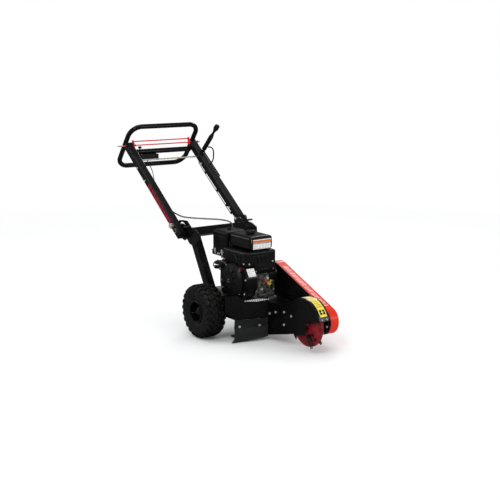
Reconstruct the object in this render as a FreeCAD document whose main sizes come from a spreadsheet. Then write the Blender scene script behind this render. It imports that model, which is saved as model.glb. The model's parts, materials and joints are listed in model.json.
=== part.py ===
import FreeCAD, Part
import Sketcher
import math
import os
import re

# A walk-behind stump grinder: two knobbly wheels, a welded deck that carries an engine with a
# level crankshaft, a belt drive under a long guard, a toothed cutting disc at the front, and a
# handle that folds forwards.
# Millimetres. +X forwards, towards the cutter; +Y the operator's left; +Z up, ground at 0.
# Inside this file x is counted from the wheels' axle; the cell axle_x moves the whole machine
# so that the origin is under the middle of its outer box.

DIMENSIONS = [
    ("axle_x", 179.6, "axle to the middle of the machine"),
    ("axle_z", 165, "axle above the ground, the tyre's rolling radius"),
    ("tyre_width", 133, "tyre width"),
    ("wheel_y", 284.5, "middle of each wheel to the machine's middle"),
    ("rim_seat", 63, "radius of the rim's bead seat"),
    ("axle_r", 12.7, "axle radius"),
    ("running", 0.05, "radial clearance of a shaft in its bore"),
    ("plate", 6, "frame plate thickness"),
    ("deck_z", 235, "top of the deck"),
    ("deck_rear", -85, "rear edge of the deck"),
    ("deck_right", -190, "right edge of the deck"),
    ("deck_left", 125, "left face of the drive arm"),
    ("crank_x", 150, "crankshaft in front of the axle"),
    ("crank_z", 365, "crankshaft above the ground"),
    ("cutter_x", 620, "cutter shaft in front of the axle"),
    ("cutter_z", 168, "cutter shaft above the ground"),
    ("cutter_y", 31, "middle plane of the disc"),
    ("disc_r", 134, "disc radius"),
    ("disc_depth", 14, "disc thickness"),
    ("tip_r", 146, "radius the teeth sweep"),
    ("guard_r", 155, "outer radius of the cutter guard"),
    ("sheet", 4, "guard sheet thickness"),
    ("belt_y", 168, "middle of the two belts"),
    ("belt_gap", 10.5, "each belt to the middle"),
    ("belt_w", 13, "belt width"),
    ("belt_d", 8, "belt depth"),
    ("drive_r", 40, "belt line radius on the crankshaft"),
    ("driven_r", 54, "belt line radius on the cutter shaft"),
    ("cover_r", 80, "radius of the belt guard's ends"),
    ("cover_y", 137, "inner edge of the belt guard"),
    ("cover_depth", 60, "depth of the belt guard"),
    ("mast_y", 188, "middle of each mast leg"),
    ("mast_w", 50, "mast tube side"),
    ("mast_top_x", -259, "middle of the mast's cross tube"),
    ("mast_top_z", 601, "middle of the mast's cross tube, height"),
    ("mast_lean", 60.4, "rise of the mast legs, degrees"),
    ("bracket_y", 213, "inner face of each hinge plate"),
    ("bracket_d", 8, "hinge plate thickness"),
    ("hinge_x", -340.6, "handle hinge"),
    ("hinge_z", 608.5, "handle hinge, height"),
    ("slot_r", 45, "clamp bolt to hinge"),
    ("upright_y", 225, "inner face of each upright"),
    ("upright_w", 50, "upright width"),
    ("upright_d", 45, "upright depth"),
    ("upright_len", 849.4, "upright length"),
    ("upright_end", 50, "hinge to the upright's lower end"),
    ("handle_rise", 37.6, "rise of the handle, degrees"),
    ("tube_wall", 2.5, "tube wall"),
    ("loop_r", 16, "hand loop tube radius"),
    ("loop_y", 264, "half width of the hand loop"),
    ("loop_half", 175, "half length of the hand loop"),
    ("loop_x", -1004.7, "middle of the hand loop"),
    ("loop_z", 1083.3, "middle of the hand loop, height"),
    ("bail_x", -950, "bail pivot"),
    ("bail_z", 1095, "bail pivot, height"),
    ("shield_x", 220, "front shield's reference corner"),
    ("shield_y", -200, "front shield's reference corner, sideways"),
    ("shield_turn", -16.26, "front shield's turn about the vertical, degrees"),
]

SIZE = {name: value for name, value, meaning in DIMENSIONS}

# Radii of the clearance holes for the two bolt sizes.
M8_HOLE = 4.2
M10_HOLE = 5.2

X_AXIS = FreeCAD.Vector(1, 0, 0)
Y_AXIS = FreeCAD.Vector(0, 1, 0)
Z_AXIS = FreeCAD.Vector(0, 0, 1)

doc = FreeCAD.newDocument("stump_grinder")
nodes = {}


# ---------------------------------------------------------------- sheet and bindings

def make_sheet():
    """Writes the driving dimensions, one to a row, under their own names."""
    sheet = doc.addObject("Spreadsheet::Sheet", "Dims")
    for row, (name, value, meaning) in enumerate(DIMENSIONS, start=1):
        sheet.set(f"A{row}", meaning)
        sheet.set(f"B{row}", str(value))
        sheet.setAlias(f"B{row}", name)
    doc.recompute()


ALIAS = re.compile(r"\b(" + "|".join(SIZE) + r")\b")


def bind(thing, **formulas):
    """Ties properties to formulas in the sheet's names, or to plain numbers."""
    for prop, formula in formulas.items():
        thing.setExpression(prop, ALIAS.sub(r"Dims.\1", str(formula)))


def put(thing, x=0, y=0, z=0, rotation=None):
    """Places a thing, with x counted from the axle."""
    if rotation is not None:
        thing.Placement = FreeCAD.Placement(FreeCAD.Vector(), rotation)
    for letter, formula in (("x", f"axle_x + ({x})"), ("y", y), ("z", z)):
        bind(thing, **{f"Placement.Base.{letter}": formula})
    return thing


def keep(name, thing):
    """Names a finished sub-part; its name is its file's name."""
    thing.Label = name
    nodes[name] = thing
    return thing


# ---------------------------------------------------------------- Part primitives

def box(x, y, z):
    """A block between two limits on each axis."""
    block = doc.addObject("Part::Box", "block")
    bind(block, Length=f"({x[1]}) - ({x[0]})", Width=f"({y[1]}) - ({y[0]})",
         Height=f"({z[1]}) - ({z[0]})")
    return put(block, x[0], y[0], z[0])


def rod(radius, length, x, y, z, axis=Y_AXIS):
    """A round bar that starts at a point and runs along an axis."""
    bar = doc.addObject("Part::Cylinder", "bar")
    bind(bar, Radius=radius, Height=length)
    return put(bar, x, y, z, FreeCAD.Rotation(Z_AXIS, axis))


def hexagon(radius, length, x, y, z, axis=Y_AXIS):
    prism = doc.addObject("Part::Prism", "hexagon")
    prism.Polygon = 6
    bind(prism, Circumradius=radius, Height=length)
    return put(prism, x, y, z, FreeCAD.Rotation(Z_AXIS, axis))


def cut(base, *tools):
    """Takes the tools away from the base."""
    result = doc.addObject("Part::Cut", "cut")
    result.Base = base
    result.Tool = tools[0] if len(tools) == 1 else join(*tools)
    return result


def join(*pieces):
    result = doc.addObject("Part::MultiFuse", "fused")
    result.Shapes = list(pieces)
    return result


def group(*pieces):
    """Keeps separate solids together in one sub-part."""
    result = doc.addObject("Part::Compound", "group")
    result.Links = list(pieces)
    return result


def rounded(base, radius, choose=None):
    """Rounds the chosen edges of a block, or all of them."""
    doc.recompute()
    result = doc.addObject("Part::Fillet", "rounded")
    result.Base = base
    numbers = [i for i, edge in enumerate(base.Shape.Edges, start=1) if choose is None or choose(edge)]
    result.Edges = [(i, radius, radius) for i in numbers]
    return result


def upright_edge(edge):
    return abs(edge.tangentAt(edge.FirstParameter).z) > 0.99


def above_bottom(block):
    """Picks every edge that is not on the block's bottom face."""
    def choose(edge):
        return edge.BoundBox.ZMax > block.Shape.BoundBox.ZMin + 1
    return choose


def shell(x, y, z, wall, radius, open_below=False):
    """A rounded hollow casing of even wall, closed or open underneath."""
    block = box(x, y, z)
    doc.recompute()
    skin = rounded(block, radius, above_bottom(block) if open_below else None)
    floor = z[0] - radius if open_below else z[0] + wall
    space = box((x[0] + wall, x[1] - wall), (y[0] + wall, y[1] - wall), (floor, z[1] - wall))
    return cut(skin, rounded(space, radius - wall))


def bolt(x, y, z, axis, grip, shank=4.0, nut=True):
    """A hexagon bolt whose head sits on the point; the shank runs back through the grip."""
    head = hexagon(shank * 1.85, shank * 1.3, x, y, z, axis)
    nut_depth = shank * 1.4 if nut else 0
    reach = grip + nut_depth
    back = [f"({at}) - ({axis[i] * reach})" for i, at in enumerate((x, y, z))]
    pieces = [head, rod(shank, reach, *back, axis)]
    if nut:
        pieces.append(hexagon(shank * 1.85, nut_depth, *back, axis))
    return join(*pieces)


# ---------------------------------------------------------------- PartDesign bodies

def start_body(role):
    """A body and a sketch lying on one of its own origin planes."""
    body = doc.addObject("PartDesign::Body", "body")
    sketch = body.newObject("Sketcher::SketchObject", "outline")
    plane = next(f for f in body.Origin.OriginFeatures if f.Role == role)
    sketch.AttachmentSupport = (plane, [""])
    sketch.MapMode = "FlatFace"
    return body, sketch


def draw_outline(sketch, points, rounding=0):
    """A closed outline; corners are rounded, and a point's third number is its own radius."""
    corners = []
    count = len(points)
    for i, point in enumerate(points):
        here = FreeCAD.Vector(point[0], point[1], 0)
        radius = point[2] if len(point) > 2 else rounding
        before = FreeCAD.Vector(points[i - 1][0], points[i - 1][1], 0) - here
        after = FreeCAD.Vector(points[(i + 1) % count][0], points[(i + 1) % count][1], 0) - here
        if radius <= 0:
            corners.append((here, here, None))
            continue
        before.normalize()
        after.normalize()
        half = before.getAngle(after) / 2
        reach = radius / math.tan(half)
        centre = here + (before + after).normalize() * (radius / math.sin(half))
        middle = centre + (here - centre).normalize() * radius
        corners.append((here + before * reach, here + after * reach, middle))
    for i, (arrive, leave, middle) in enumerate(corners):
        if middle is not None:
            sketch.addGeometry(Part.Arc(arrive, middle, leave), False)
        sketch.addGeometry(Part.LineSegment(leave, corners[(i + 1) % count][0]), False)


def draw_circle(sketch, x, y, radius):
    """A circle whose radius follows the sheet."""
    number = float(radius) if not isinstance(radius, str) else SIZE[radius]
    circle = Part.Circle(FreeCAD.Vector(x, y, 0), Z_AXIS, number)
    index = sketch.addGeometry(circle, False)
    constraint = sketch.addConstraint(Sketcher.Constraint("Radius", index, number))
    bind(sketch, **{f"Constraints[{constraint}]": radius})


def draw_loop(sketch, r1, x2, y2, r2):
    """The outline of a belt that runs round a circle at 0,0 and one at x2,y2."""
    span = math.hypot(x2, y2)
    along = math.atan2(y2, x2)
    lean = math.pi / 2 + math.asin((r2 - r1) / span)

    def spot(x, y, radius, angle):
        return FreeCAD.Vector(x + radius * math.cos(angle), y + radius * math.sin(angle), 0)

    for sign in (1, -1):
        first = spot(0, 0, r1, along + sign * lean)
        second = spot(x2, y2, r2, along + sign * lean)
        sketch.addGeometry(Part.LineSegment(first, second), False)
    ends = [spot(0, 0, r1, along + a) for a in (lean, math.pi, -lean)]
    sketch.addGeometry(Part.Arc(*ends), False)
    ends = [spot(x2, y2, r2, along + a) for a in (lean, 0, -lean)]
    sketch.addGeometry(Part.Arc(*ends), False)


def pad(body, sketch, depth):
    """Pads a sketch towards +X, +Y or +Z, whichever its plane faces."""
    feature = body.newObject("PartDesign::Pad", "pad")
    feature.Profile = sketch
    bind(feature, Length=depth)
    plane = sketch.AttachmentSupport[0][0]
    feature.Reversed = plane.Role == "XZ_Plane"
    return feature


def plate(role, points, depth, rounding=0, holes=()):
    """A flat plate or block: an outline, round holes, and a depth."""
    body, sketch = start_body(role)
    draw_outline(sketch, points, rounding)
    for x, y, radius in holes:
        draw_circle(sketch, x, y, radius)
    pad(body, sketch, depth)
    return body


def turned(points):
    """A ring turned about Y from (radius, y) points."""
    body, sketch = start_body("XY_Plane")
    draw_outline(sketch, points)
    feature = body.newObject("PartDesign::Revolution", "turning")
    feature.Profile = sketch
    feature.ReferenceAxis = (sketch, ["V_Axis"])
    feature.Angle = 360
    return body


def bent_tube(points, bend, radius, closed=False):
    """A round bar that follows straight runs joined by bends."""
    spots = [FreeCAD.Vector(*p) for p in points]
    count = len(spots)
    inner = range(count) if closed else range(1, count - 1)
    bends = {}
    for i in inner:
        before = (spots[i - 1] - spots[i]).normalize()
        after = (spots[(i + 1) % count] - spots[i]).normalize()
        half = before.getAngle(after) / 2
        centre = spots[i] + (before + after).normalize() * (bend / math.sin(half))
        middle = centre + (spots[i] - centre).normalize() * bend
        reach = bend / math.tan(half)
        bends[i] = (spots[i] + before * reach, middle, spots[i] + after * reach)
    edges = []
    for i in range(count if closed else count - 1):
        following = (i + 1) % count
        leave = bends[i][2] if i in bends else spots[i]
        arrive = bends[following][0] if following in bends else spots[following]
        edges.append(Part.makeLine(leave, arrive))
        if following in bends:
            edges.append(Part.Arc(*bends[following]).toShape())
    start = edges[0].Vertexes[0].Point
    facing = edges[0].Vertexes[1].Point - start
    ring = Part.Wire(Part.makeCircle(radius, start, facing))
    shape = Part.Wire(edges).makePipeShell([ring], True, False)
    feature = doc.addObject("Part::Feature", "bent_tube")
    feature.Shape = shape
    return feature


# ---------------------------------------------------------------- wheels and axle

def make_wheels():
    """Two pneumatic tyres on one-piece rims; each turns on its own two bearings."""
    tread, half = SIZE["axle_z"], SIZE["tyre_width"] / 2
    seat = SIZE["rim_seat"]
    outer = [(seat + 0.1, 54.8), (72, 54.8), (82, 63), (115, half), (146, 64), (159, 54), (tread, 32)]
    cavity = [(seat + 0.1, 44), (76, 48), (115, 58), (140, 54), (151, 40)]
    tyre_outline = [(r, -y) for r, y in outer] + [(r, y) for r, y in reversed(outer)]
    tyre_outline += cavity + [(r, -y) for r, y in reversed(cavity)]
    bearing_r, hub_r, hub_half, web = 20, 26, 32, 12
    rim_outline = [(bearing_r + 0.05, -hub_half), (hub_r, -hub_half), (hub_r, -web - 4),
                   (seat - 3, -web - 4), (seat - 3, -60), (71, -60), (71, -55), (seat, -55),
                   (seat, 55), (71, 55), (71, 60), (seat - 3, 60), (seat - 3, -web), (hub_r, -web),
                   (hub_r, hub_half), (bearing_r + 0.05, hub_half)]
    bearings = []
    for side, sign in (("right", 1), ("left", -1)):
        centre = f"{-sign} * wheel_y"
        tyre = put(turned(tyre_outline), 0, centre, "axle_z")
        keep(f"tyre_{side}", tyre)
        rim = turned([(r, sign * y) for r, y in rim_outline])
        hole_sketch = rim.newObject("Sketcher::SketchObject", "hand_hole")
        plane = next(f for f in rim.Origin.OriginFeatures if f.Role == "XZ_Plane")
        hole_sketch.AttachmentSupport = (plane, [""])
        hole_sketch.MapMode = "FlatFace"
        draw_circle(hole_sketch, (hub_r + seat - 3) / 2, 0, 9)
        pocket = rim.newObject("PartDesign::Pocket", "hole")
        pocket.Profile = hole_sketch
        pocket.Type = "ThroughAll"
        pocket.Midplane = True
        pattern = rim.newObject("PartDesign::PolarPattern", "holes")
        pattern.Originals = [pocket]
        pattern.Axis = (next(f for f in rim.Origin.OriginFeatures if f.Role == "Y_Axis"), [""])
        pattern.Angle = 360
        pattern.Occurrences = 6
        rim.Tip = pattern
        keep(f"rim_{side}", put(rim, 0, centre, "axle_z"))
        for offset in (-hub_half, hub_half - 12):
            race = turned([(SIZE["axle_r"] + 0.05, 0), (bearing_r, 0), (bearing_r, 12),
                           (SIZE["axle_r"] + 0.05, 12)])
            bearings.append(put(race, 0, f"{centre} + {offset}", "axle_z"))
    keep("wheel_bearings", group(*bearings))


def make_axle():
    """A plain bar through the frame's cross tube, with a nut outside each hub."""
    keep("axle", rod("axle_r", 660, 0, -330, "axle_z"))
    nuts = []
    for base in ("wheel_y + 32.2", "-wheel_y - 32.2 - 11"):
        blank = hexagon(21, 11, 0, base, "axle_z")
        nuts.append(cut(blank, rod("axle_r + running", 12, 0, f"{base} - 0.5", "axle_z")))
    keep("axle_nuts", group(*nuts))


# ---------------------------------------------------------------- frame

# Bolt places: the engine's and flap's from above or in front, the rest seen from the right side.
ENGINE_BOLTS = [(50, -68), (236, -68), (50, 80), (236, 80)]
BEARING_BOLTS = [(dx, dz) for dx in (-38, 38) for dz in (-38, 38)]
CHAMBER_X = 433
SHIELD_BACK = 5.2
GUARD_BOLT_ANGLES = (-15, -60, 200)
GUARD_BOLT_R = 69
WALL_BOLTS = [(441, 128), (441, 205), (293, 165), (353, 186)]
GUARD_RIVET = (509, 195)
FLAP_BOLTS = (20, 147)
FLAP_BOLT_Z = 98


def shield_spot(along, out):
    """x and y of a point on the front shield, from its reference corner."""
    turn = math.radians(SIZE["shield_turn"])
    x = SIZE["shield_x"] - along * math.sin(turn) + out * math.cos(turn)
    y = SIZE["shield_y"] + along * math.cos(turn) + out * math.sin(turn)
    return x, y


def guard_bolt_spots():
    spots = []
    for angle in GUARD_BOLT_ANGLES:
        turn = math.radians(angle)
        spots.append((SIZE["cutter_x"] + GUARD_BOLT_R * math.cos(turn),
                      SIZE["cutter_z"] + GUARD_BOLT_R * math.sin(turn)))
    return spots


def make_base_frame():
    """Deck, skirts, drive arm, wall beside the cutter, axle tube and parking foot, all welded."""
    rear, right, left = SIZE["deck_rear"], SIZE["deck_right"], SIZE["deck_left"]
    top = SIZE["deck_z"]
    edge_x, edge_y = shield_spot(0, -SHIELD_BACK)
    slope = -math.tan(math.radians(SIZE["shield_turn"]))
    front_right = edge_x + (right - edge_y) * slope
    front_middle = edge_x - edge_y * slope
    deck = plate("XY_Plane", [(rear, right), (front_right, right), (front_middle, 0), (CHAMBER_X, 0),
                              (CHAMBER_X, left), (rear, left)], "plate",
                 holes=[(x, y, M8_HOLE) for x, y in ENGINE_BOLTS])
    put(deck, 0, 0, "deck_z - plate")
    nose, low, high = SIZE["cutter_x"], SIZE["cutter_z"] - 76, SIZE["cutter_z"] + 76
    arm_holes = [(SIZE["cutter_x"], SIZE["cutter_z"], 20)]
    arm_holes += [(SIZE["cutter_x"] + dx, SIZE["cutter_z"] + dz, M8_HOLE) for dx, dz in BEARING_BOLTS]
    arm_holes += [(x, z, M8_HOLE) for x, z in guard_bolt_spots()]
    arm = plate("XZ_Plane", [(rear, 130), (420, 96), (nose - 30, low, 60), (nose + 77, low, 75),
                             (nose + 77, high, 75), (nose - 30, high, 60), (470, top), (rear, top)],
                "plate", holes=arm_holes)
    put(arm, 0, "deck_left - plate", 0)
    wall = plate("XZ_Plane", [(front_middle, top), (front_middle, 28), (450, 71), (450, top)],
                 "plate", holes=[(x, z, M8_HOLE) for x, z in WALL_BOLTS])
    put(wall, 0, 0, 0)
    right_skirt = box((rear, 208), (right, f"{right} + plate"), (130, "deck_z - plate"))
    rear_skirt = box(("deck_rear", "deck_rear + plate"), ("deck_right", "deck_left"),
                     (130, "deck_z - plate"))
    chamber_back = box((CHAMBER_X - 5, CHAMBER_X), (0, "deck_left - plate"), (112, "deck_z - plate"))
    beam = box(("deck_rear", -15), ("-bracket_y", "bracket_y"), (195, "deck_z"))
    tube = rod(20, 504.6, 0, -252.3, "axle_z")
    gussets = [box((-32, 32), (y, f"{y} + 8"), (150, "deck_z - plate")) for y in (-158, 110)]
    leg = box((120, 160), (-100, -60), (6, "deck_z - plate"))
    foot = rounded(box((80, 200), (-150, -10), (0, 6)), 20, upright_edge)
    body = join(deck, arm, wall, right_skirt, rear_skirt, chamber_back, beam, tube, leg, foot, *gussets)
    keep("base_frame", cut(body, rod("axle_r + running", 520, 0, -260, "axle_z")))


def make_step_plate():
    """The folded anti-slip plate behind the engine."""
    top = 280
    skin = box((-83, -6), (-160, 110), ("deck_z", top))
    hollow = box((-79, -10), (-156, 106), ("deck_z - 1", top - 4))
    keep("rear_step_plate", cut(skin, hollow))


def make_mast():
    """Two square legs on foot plates, with a square tube across their tops."""
    rise = math.radians(SIZE["mast_lean"])
    up = FreeCAD.Vector(-math.cos(rise), 0, math.sin(rise))
    out = FreeCAD.Vector(math.sin(rise), 0, math.cos(rise))
    foot_z = SIZE["deck_z"] + 3

    def leg_outline(half, low, short):
        top = FreeCAD.Vector(SIZE["mast_top_x"], 0, SIZE["mast_top_z"]) - up * (25 + short)
        corners = [top - out * half, top + out * half]
        feet = [c - up * ((c.z - low) / up.z) for c in corners]
        return [(v.x, v.z) for v in (feet[0], corners[0], corners[1], feet[1])]

    legs = []
    for side in (-1, 1):
        skin = plate("XZ_Plane", leg_outline(SIZE["mast_w"] / 2, foot_z, 0), "mast_w")
        put(skin, 0, f"{side} * mast_y - mast_w / 2", 0)
        core = plate("XZ_Plane", leg_outline(SIZE["mast_w"] / 2 - 3, foot_z + 8, 3), "mast_w - 6")
        put(core, 0, f"{side} * mast_y - mast_w / 2 + 3", 0)
        legs.append(cut(skin, core))
        sole_y = (f"{side} * mast_y - mast_w / 2", f"{side} * mast_y + mast_w / 2")
        legs.append(box((-84.9, -15.1), sole_y, ("deck_z", "deck_z + plate")))
    half, inner = SIZE["mast_w"] / 2, SIZE["mast_w"] / 2 - 3
    cross = plate("XZ_Plane", [(-half, -half), (half, -half), (half, half), (-half, half)],
                  "2 * bracket_y", rounding=4)
    bore = plate("XZ_Plane", [(-inner, -inner), (inner, -inner), (inner, inner), (-inner, inner)],
                 "2 * bracket_y + 2")
    tilt = FreeCAD.Rotation(Y_AXIS, SIZE["mast_lean"] - 90)
    put(cross, "mast_top_x", "-bracket_y", "mast_top_z", tilt)
    put(bore, "mast_top_x", "-bracket_y - 1", "mast_top_z", tilt)
    keep("mast_frame", join(cut(cross, bore), *legs))


def make_hinge():
    """Plates at the mast's top; a slot round the hinge lets the clamp bolt swing."""
    x, z = SIZE["hinge_x"], SIZE["hinge_z"]
    outline = [(x - 60, z + 20, 20), (x - 44, z - 26, 10), (-345, 552, 4), (-318, 543, 2), (-290, 560, 4),
               (-262, 533, 2), (-205, 518, 6), (-145, 574, 6), (-150, 612, 8), (-198, 631, 10),
               (-238, 634, 8), (-290, 672, 14), (x, z + 62, 20), (x - 44, z + 56, 20)]
    rest = 180 - SIZE["handle_rise"]
    swing = 101
    plates = []
    for inner in ("bracket_y", "-bracket_y - bracket_d"):
        body, sketch = start_body("XZ_Plane")
        draw_outline(sketch, outline)
        draw_circle(sketch, x, z, 6.05)
        reach, gap = SIZE["slot_r"], 5.3
        centre = FreeCAD.Vector(x, z, 0)
        start, stop = math.radians(rest - swing), math.radians(rest)
        for radius in (reach - gap, reach + gap):
            arc = Part.ArcOfCircle(Part.Circle(centre, Z_AXIS, radius), start, stop)
            sketch.addGeometry(arc, False)
        for angle, turn in ((stop, 0), (start, math.pi)):
            end = centre + FreeCAD.Vector(math.cos(angle), math.sin(angle), 0) * reach
            cap = Part.ArcOfCircle(Part.Circle(end, Z_AXIS, gap), angle + turn, angle + turn + math.pi)
            sketch.addGeometry(cap, False)
        pad(body, sketch, "bracket_d")
        plates.append(put(body, 0, inner, 0))
    keep("hinge_brackets", group(*plates))

    pins = []
    for side in (1, -1):
        outward = Y_AXIS * side
        start = f"{side} * (bracket_y + bracket_d + 0.05)"
        pins.append(rod(6, 40, -260, start, 640, outward))
        spacer = rod(11, "upright_y - bracket_y - bracket_d - 0.4", "hinge_x",
                     f"{side} * (bracket_y + bracket_d + 0.1)", "hinge_z", outward)
        head = hexagon(11, 8, "hinge_x", f"{side} * (upright_y + upright_w + 0.2)", "hinge_z", outward)
        shank = rod(6, "upright_w + 18", "hinge_x", f"{side} * (bracket_y - 5)", "hinge_z", outward)
        nut = hexagon(11, 9.8, "hinge_x", f"{side} * (bracket_y - 10)", "hinge_z", outward)
        pins.append(join(spacer, head, shank, nut))
    keep("hinge_bolts", group(*pins))


def make_front_shield():
    """The angled steel shield in front of the right wheel, with a rubber flap clamped to it."""
    turn = FreeCAD.Rotation(Z_AXIS, SIZE["shield_turn"])
    shield = plate("YZ_Plane", [(-65, 187), (-5, 140), (-5, 84), (205, 84), (205, 264), (34, 264),
                                (20, 285), (-65, 285)], 5,
                   holes=[(along, FLAP_BOLT_Z, M8_HOLE) for along in FLAP_BOLTS])
    x, y = shield_spot(0, -5)
    keep("front_shield", put(shield, x, y, 0, turn))
    flap = plate("XZ_Plane", [(0.1, 138), (5.1, 138), (5.1, 84), (9, 62, 30), (17, 36, 30), (29, 14, 20),
                              (40, 4), (36, 0.6), (24.5, 11, 20), (12.5, 33, 20), (4.5, 60, 20),
                              (0.1, 84)], 210)
    x, y = shield_spot(-8, 0)
    put(flap, x, y, 0, turn)
    strip = plate("XZ_Plane", [(5.2, 88), (9.2, 88), (9.2, 139.5), (5.2, 139.5)], 196)
    x, y = shield_spot(-6, 0)
    put(strip, x, y, 0, turn)
    drills = []
    for along in FLAP_BOLTS:
        x, y = shield_spot(along, -2)
        drills.append(rod(M8_HOLE, 16, x, y, FLAP_BOLT_Z, turn.multVec(X_AXIS)))
    keep("rubber_flap", cut(flap, *drills))
    keep("flap_strip", cut(strip, *drills))


def make_frame_bolts():
    """All the flange bolts of the frame."""
    turn = FreeCAD.Rotation(Z_AXIS, SIZE["shield_turn"]).multVec(X_AXIS)
    bolts = [bolt(x, y, 250.1, Z_AXIS, 31, nut=False) for x, y in ENGINE_BOLTS]
    for dx, dz in BEARING_BOLTS:
        bolts.append(bolt(f"cutter_x + {dx}", 108.9, f"cutter_z + {dz}", -Y_AXIS, 16.3))
    for x, z in guard_bolt_spots():
        bolts.append(bolt(x, 118.9, z, -Y_AXIS, 18.3))
    for x, z in WALL_BOLTS:
        start = -4.1 if x > 400 else -0.1
        bolts.append(bolt(x, start, z, -Y_AXIS, 6.2 - start))
    bolts.append(bolt(GUARD_RIVET[0], -4.1, GUARD_RIVET[1], -Y_AXIS, 5, nut=False))
    for along in FLAP_BOLTS:
        x, y = shield_spot(along, 9.3)
        bolts.append(bolt(x, y, FLAP_BOLT_Z, turn, 14.6))
    keep("frame_bolts", group(*bolts))


# ---------------------------------------------------------------- cutter

# Carbide tip radius; degrees the teeth on the disc's left face are turned from even spacing; and
# how far from the shaft the two bolts of a tooth sit.
TIP_SIZE = 7.5
TOOTH_SHIFT = 21.5
TOOTH_BOLTS = (78, 110)


def make_cutter():
    """The disc, its teeth and its shaft."""
    x, z = SIZE["cutter_x"], SIZE["cutter_z"]
    near = SIZE["cutter_y"] - SIZE["disc_depth"] / 2
    far = SIZE["cutter_y"] + SIZE["disc_depth"] / 2
    hub_r, first_hub_bolt = 28, 0.4
    hub_angles = [first_hub_bolt + k * math.pi / 2 for k in range(4)]
    hub_bolts = [(hub_r * math.cos(a), hub_r * math.sin(a)) for a in hub_angles]
    tooth_angles = [math.radians(22.5 + 45 * k - (TOOTH_SHIFT if k % 2 else 0)) for k in range(8)]
    holes = [(dx, dz, M10_HOLE) for dx, dz in hub_bolts]
    holes += [(r * math.cos(a), r * math.sin(a), M10_HOLE) for a in tooth_angles for r in TOOTH_BOLTS]
    body, sketch = start_body("XZ_Plane")
    draw_circle(sketch, 0, 0, "disc_r")
    for dx, dz, radius in [(0, 0, SIZE["axle_r"] + 0.05)] + holes:
        draw_circle(sketch, dx, dz, radius)
    pad(body, sketch, "disc_depth")
    keep("cutter_disc", put(body, "cutter_x", "cutter_y - disc_depth / 2", "cutter_z"))

    flange = plate("XZ_Plane", [(-40, -40), (40, -40), (40, 40), (-40, 40)], 12, rounding=39.9,
                   holes=[(dx, dz, M10_HOLE) for dx, dz in hub_bolts])
    put(flange, "cutter_x", far + 0.1, "cutter_z")
    shaft = rod("axle_r", 182, "cutter_x", 9, "cutter_z")
    keep("cutter_shaft", join(shaft, flange))

    bolts = []
    for dx, dz in hub_bolts:
        bolts.append(bolt(x + dx, near - 0.1, z + dz, -Y_AXIS, 26.4, shank=5))
    holders, tips = [], []
    for k, angle in enumerate(tooth_angles):
        near_side = k % 2 == 0
        inner_y = near - 14.1 if near_side else far + 0.1
        turn = FreeCAD.Rotation(Y_AXIS, -math.degrees(angle))
        radial = turn.multVec(X_AXIS)
        across = turn.multVec(Z_AXIS)
        holder = plate("XZ_Plane", [(62, -10), (98, -13), (130.5, -13), (130.5, 4), (122, 13), (62, 10)], 14,
                       rounding=3, holes=[(r, 0, M10_HOLE) for r in TOOTH_BOLTS])
        holders.append(put(holder, "cutter_x", inner_y, "cutter_z", turn))
        tip_y = inner_y + (6.4 if near_side else 7.6)
        seat = FreeCAD.Vector(x, tip_y, z) + radial * (SIZE["tip_r"] - TIP_SIZE) - across * 4
        tips.append(rod(TIP_SIZE, 9, seat.x, seat.y, seat.z, across))
        head_y = inner_y - 0.1 if near_side else inner_y + 14.1
        facing = -Y_AXIS if near_side else Y_AXIS
        for reach in TOOTH_BOLTS:
            bolts.append(bolt(x + reach * math.cos(angle), head_y, z + reach * math.sin(angle),
                              facing, 28.4, shank=5))
    keep("tooth_holders", group(*holders))
    keep("tooth_tips", group(*tips))
    keep("cutter_bolts", group(*bolts))


def make_cutter_bearings():
    """A flanged housing on the drive arm, with a ball bearing at each end."""
    flange = plate("XZ_Plane", [(-50, -50), (50, -50), (50, 50), (-50, 50)], 10, rounding=14,
                   holes=[(dx, dz, M8_HOLE) for dx, dz in BEARING_BOLTS])
    put(flange, "cutter_x", 109, "cutter_z")
    barrel = rod(38, 53, "cutter_x", 66, "cutter_z")
    housing = join(flange, barrel)
    keep("bearing_housing", cut(housing, rod(26.05, 60, "cutter_x", 62, "cutter_z")))
    inner = SIZE["axle_r"] + SIZE["running"]
    races = [put(turned([(inner, 0), (26, 0), (26, 15), (inner, 15)]), "cutter_x", y, "cutter_z")
             for y in (67, 103)]
    keep("cutter_bearings", group(*races))


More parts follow.
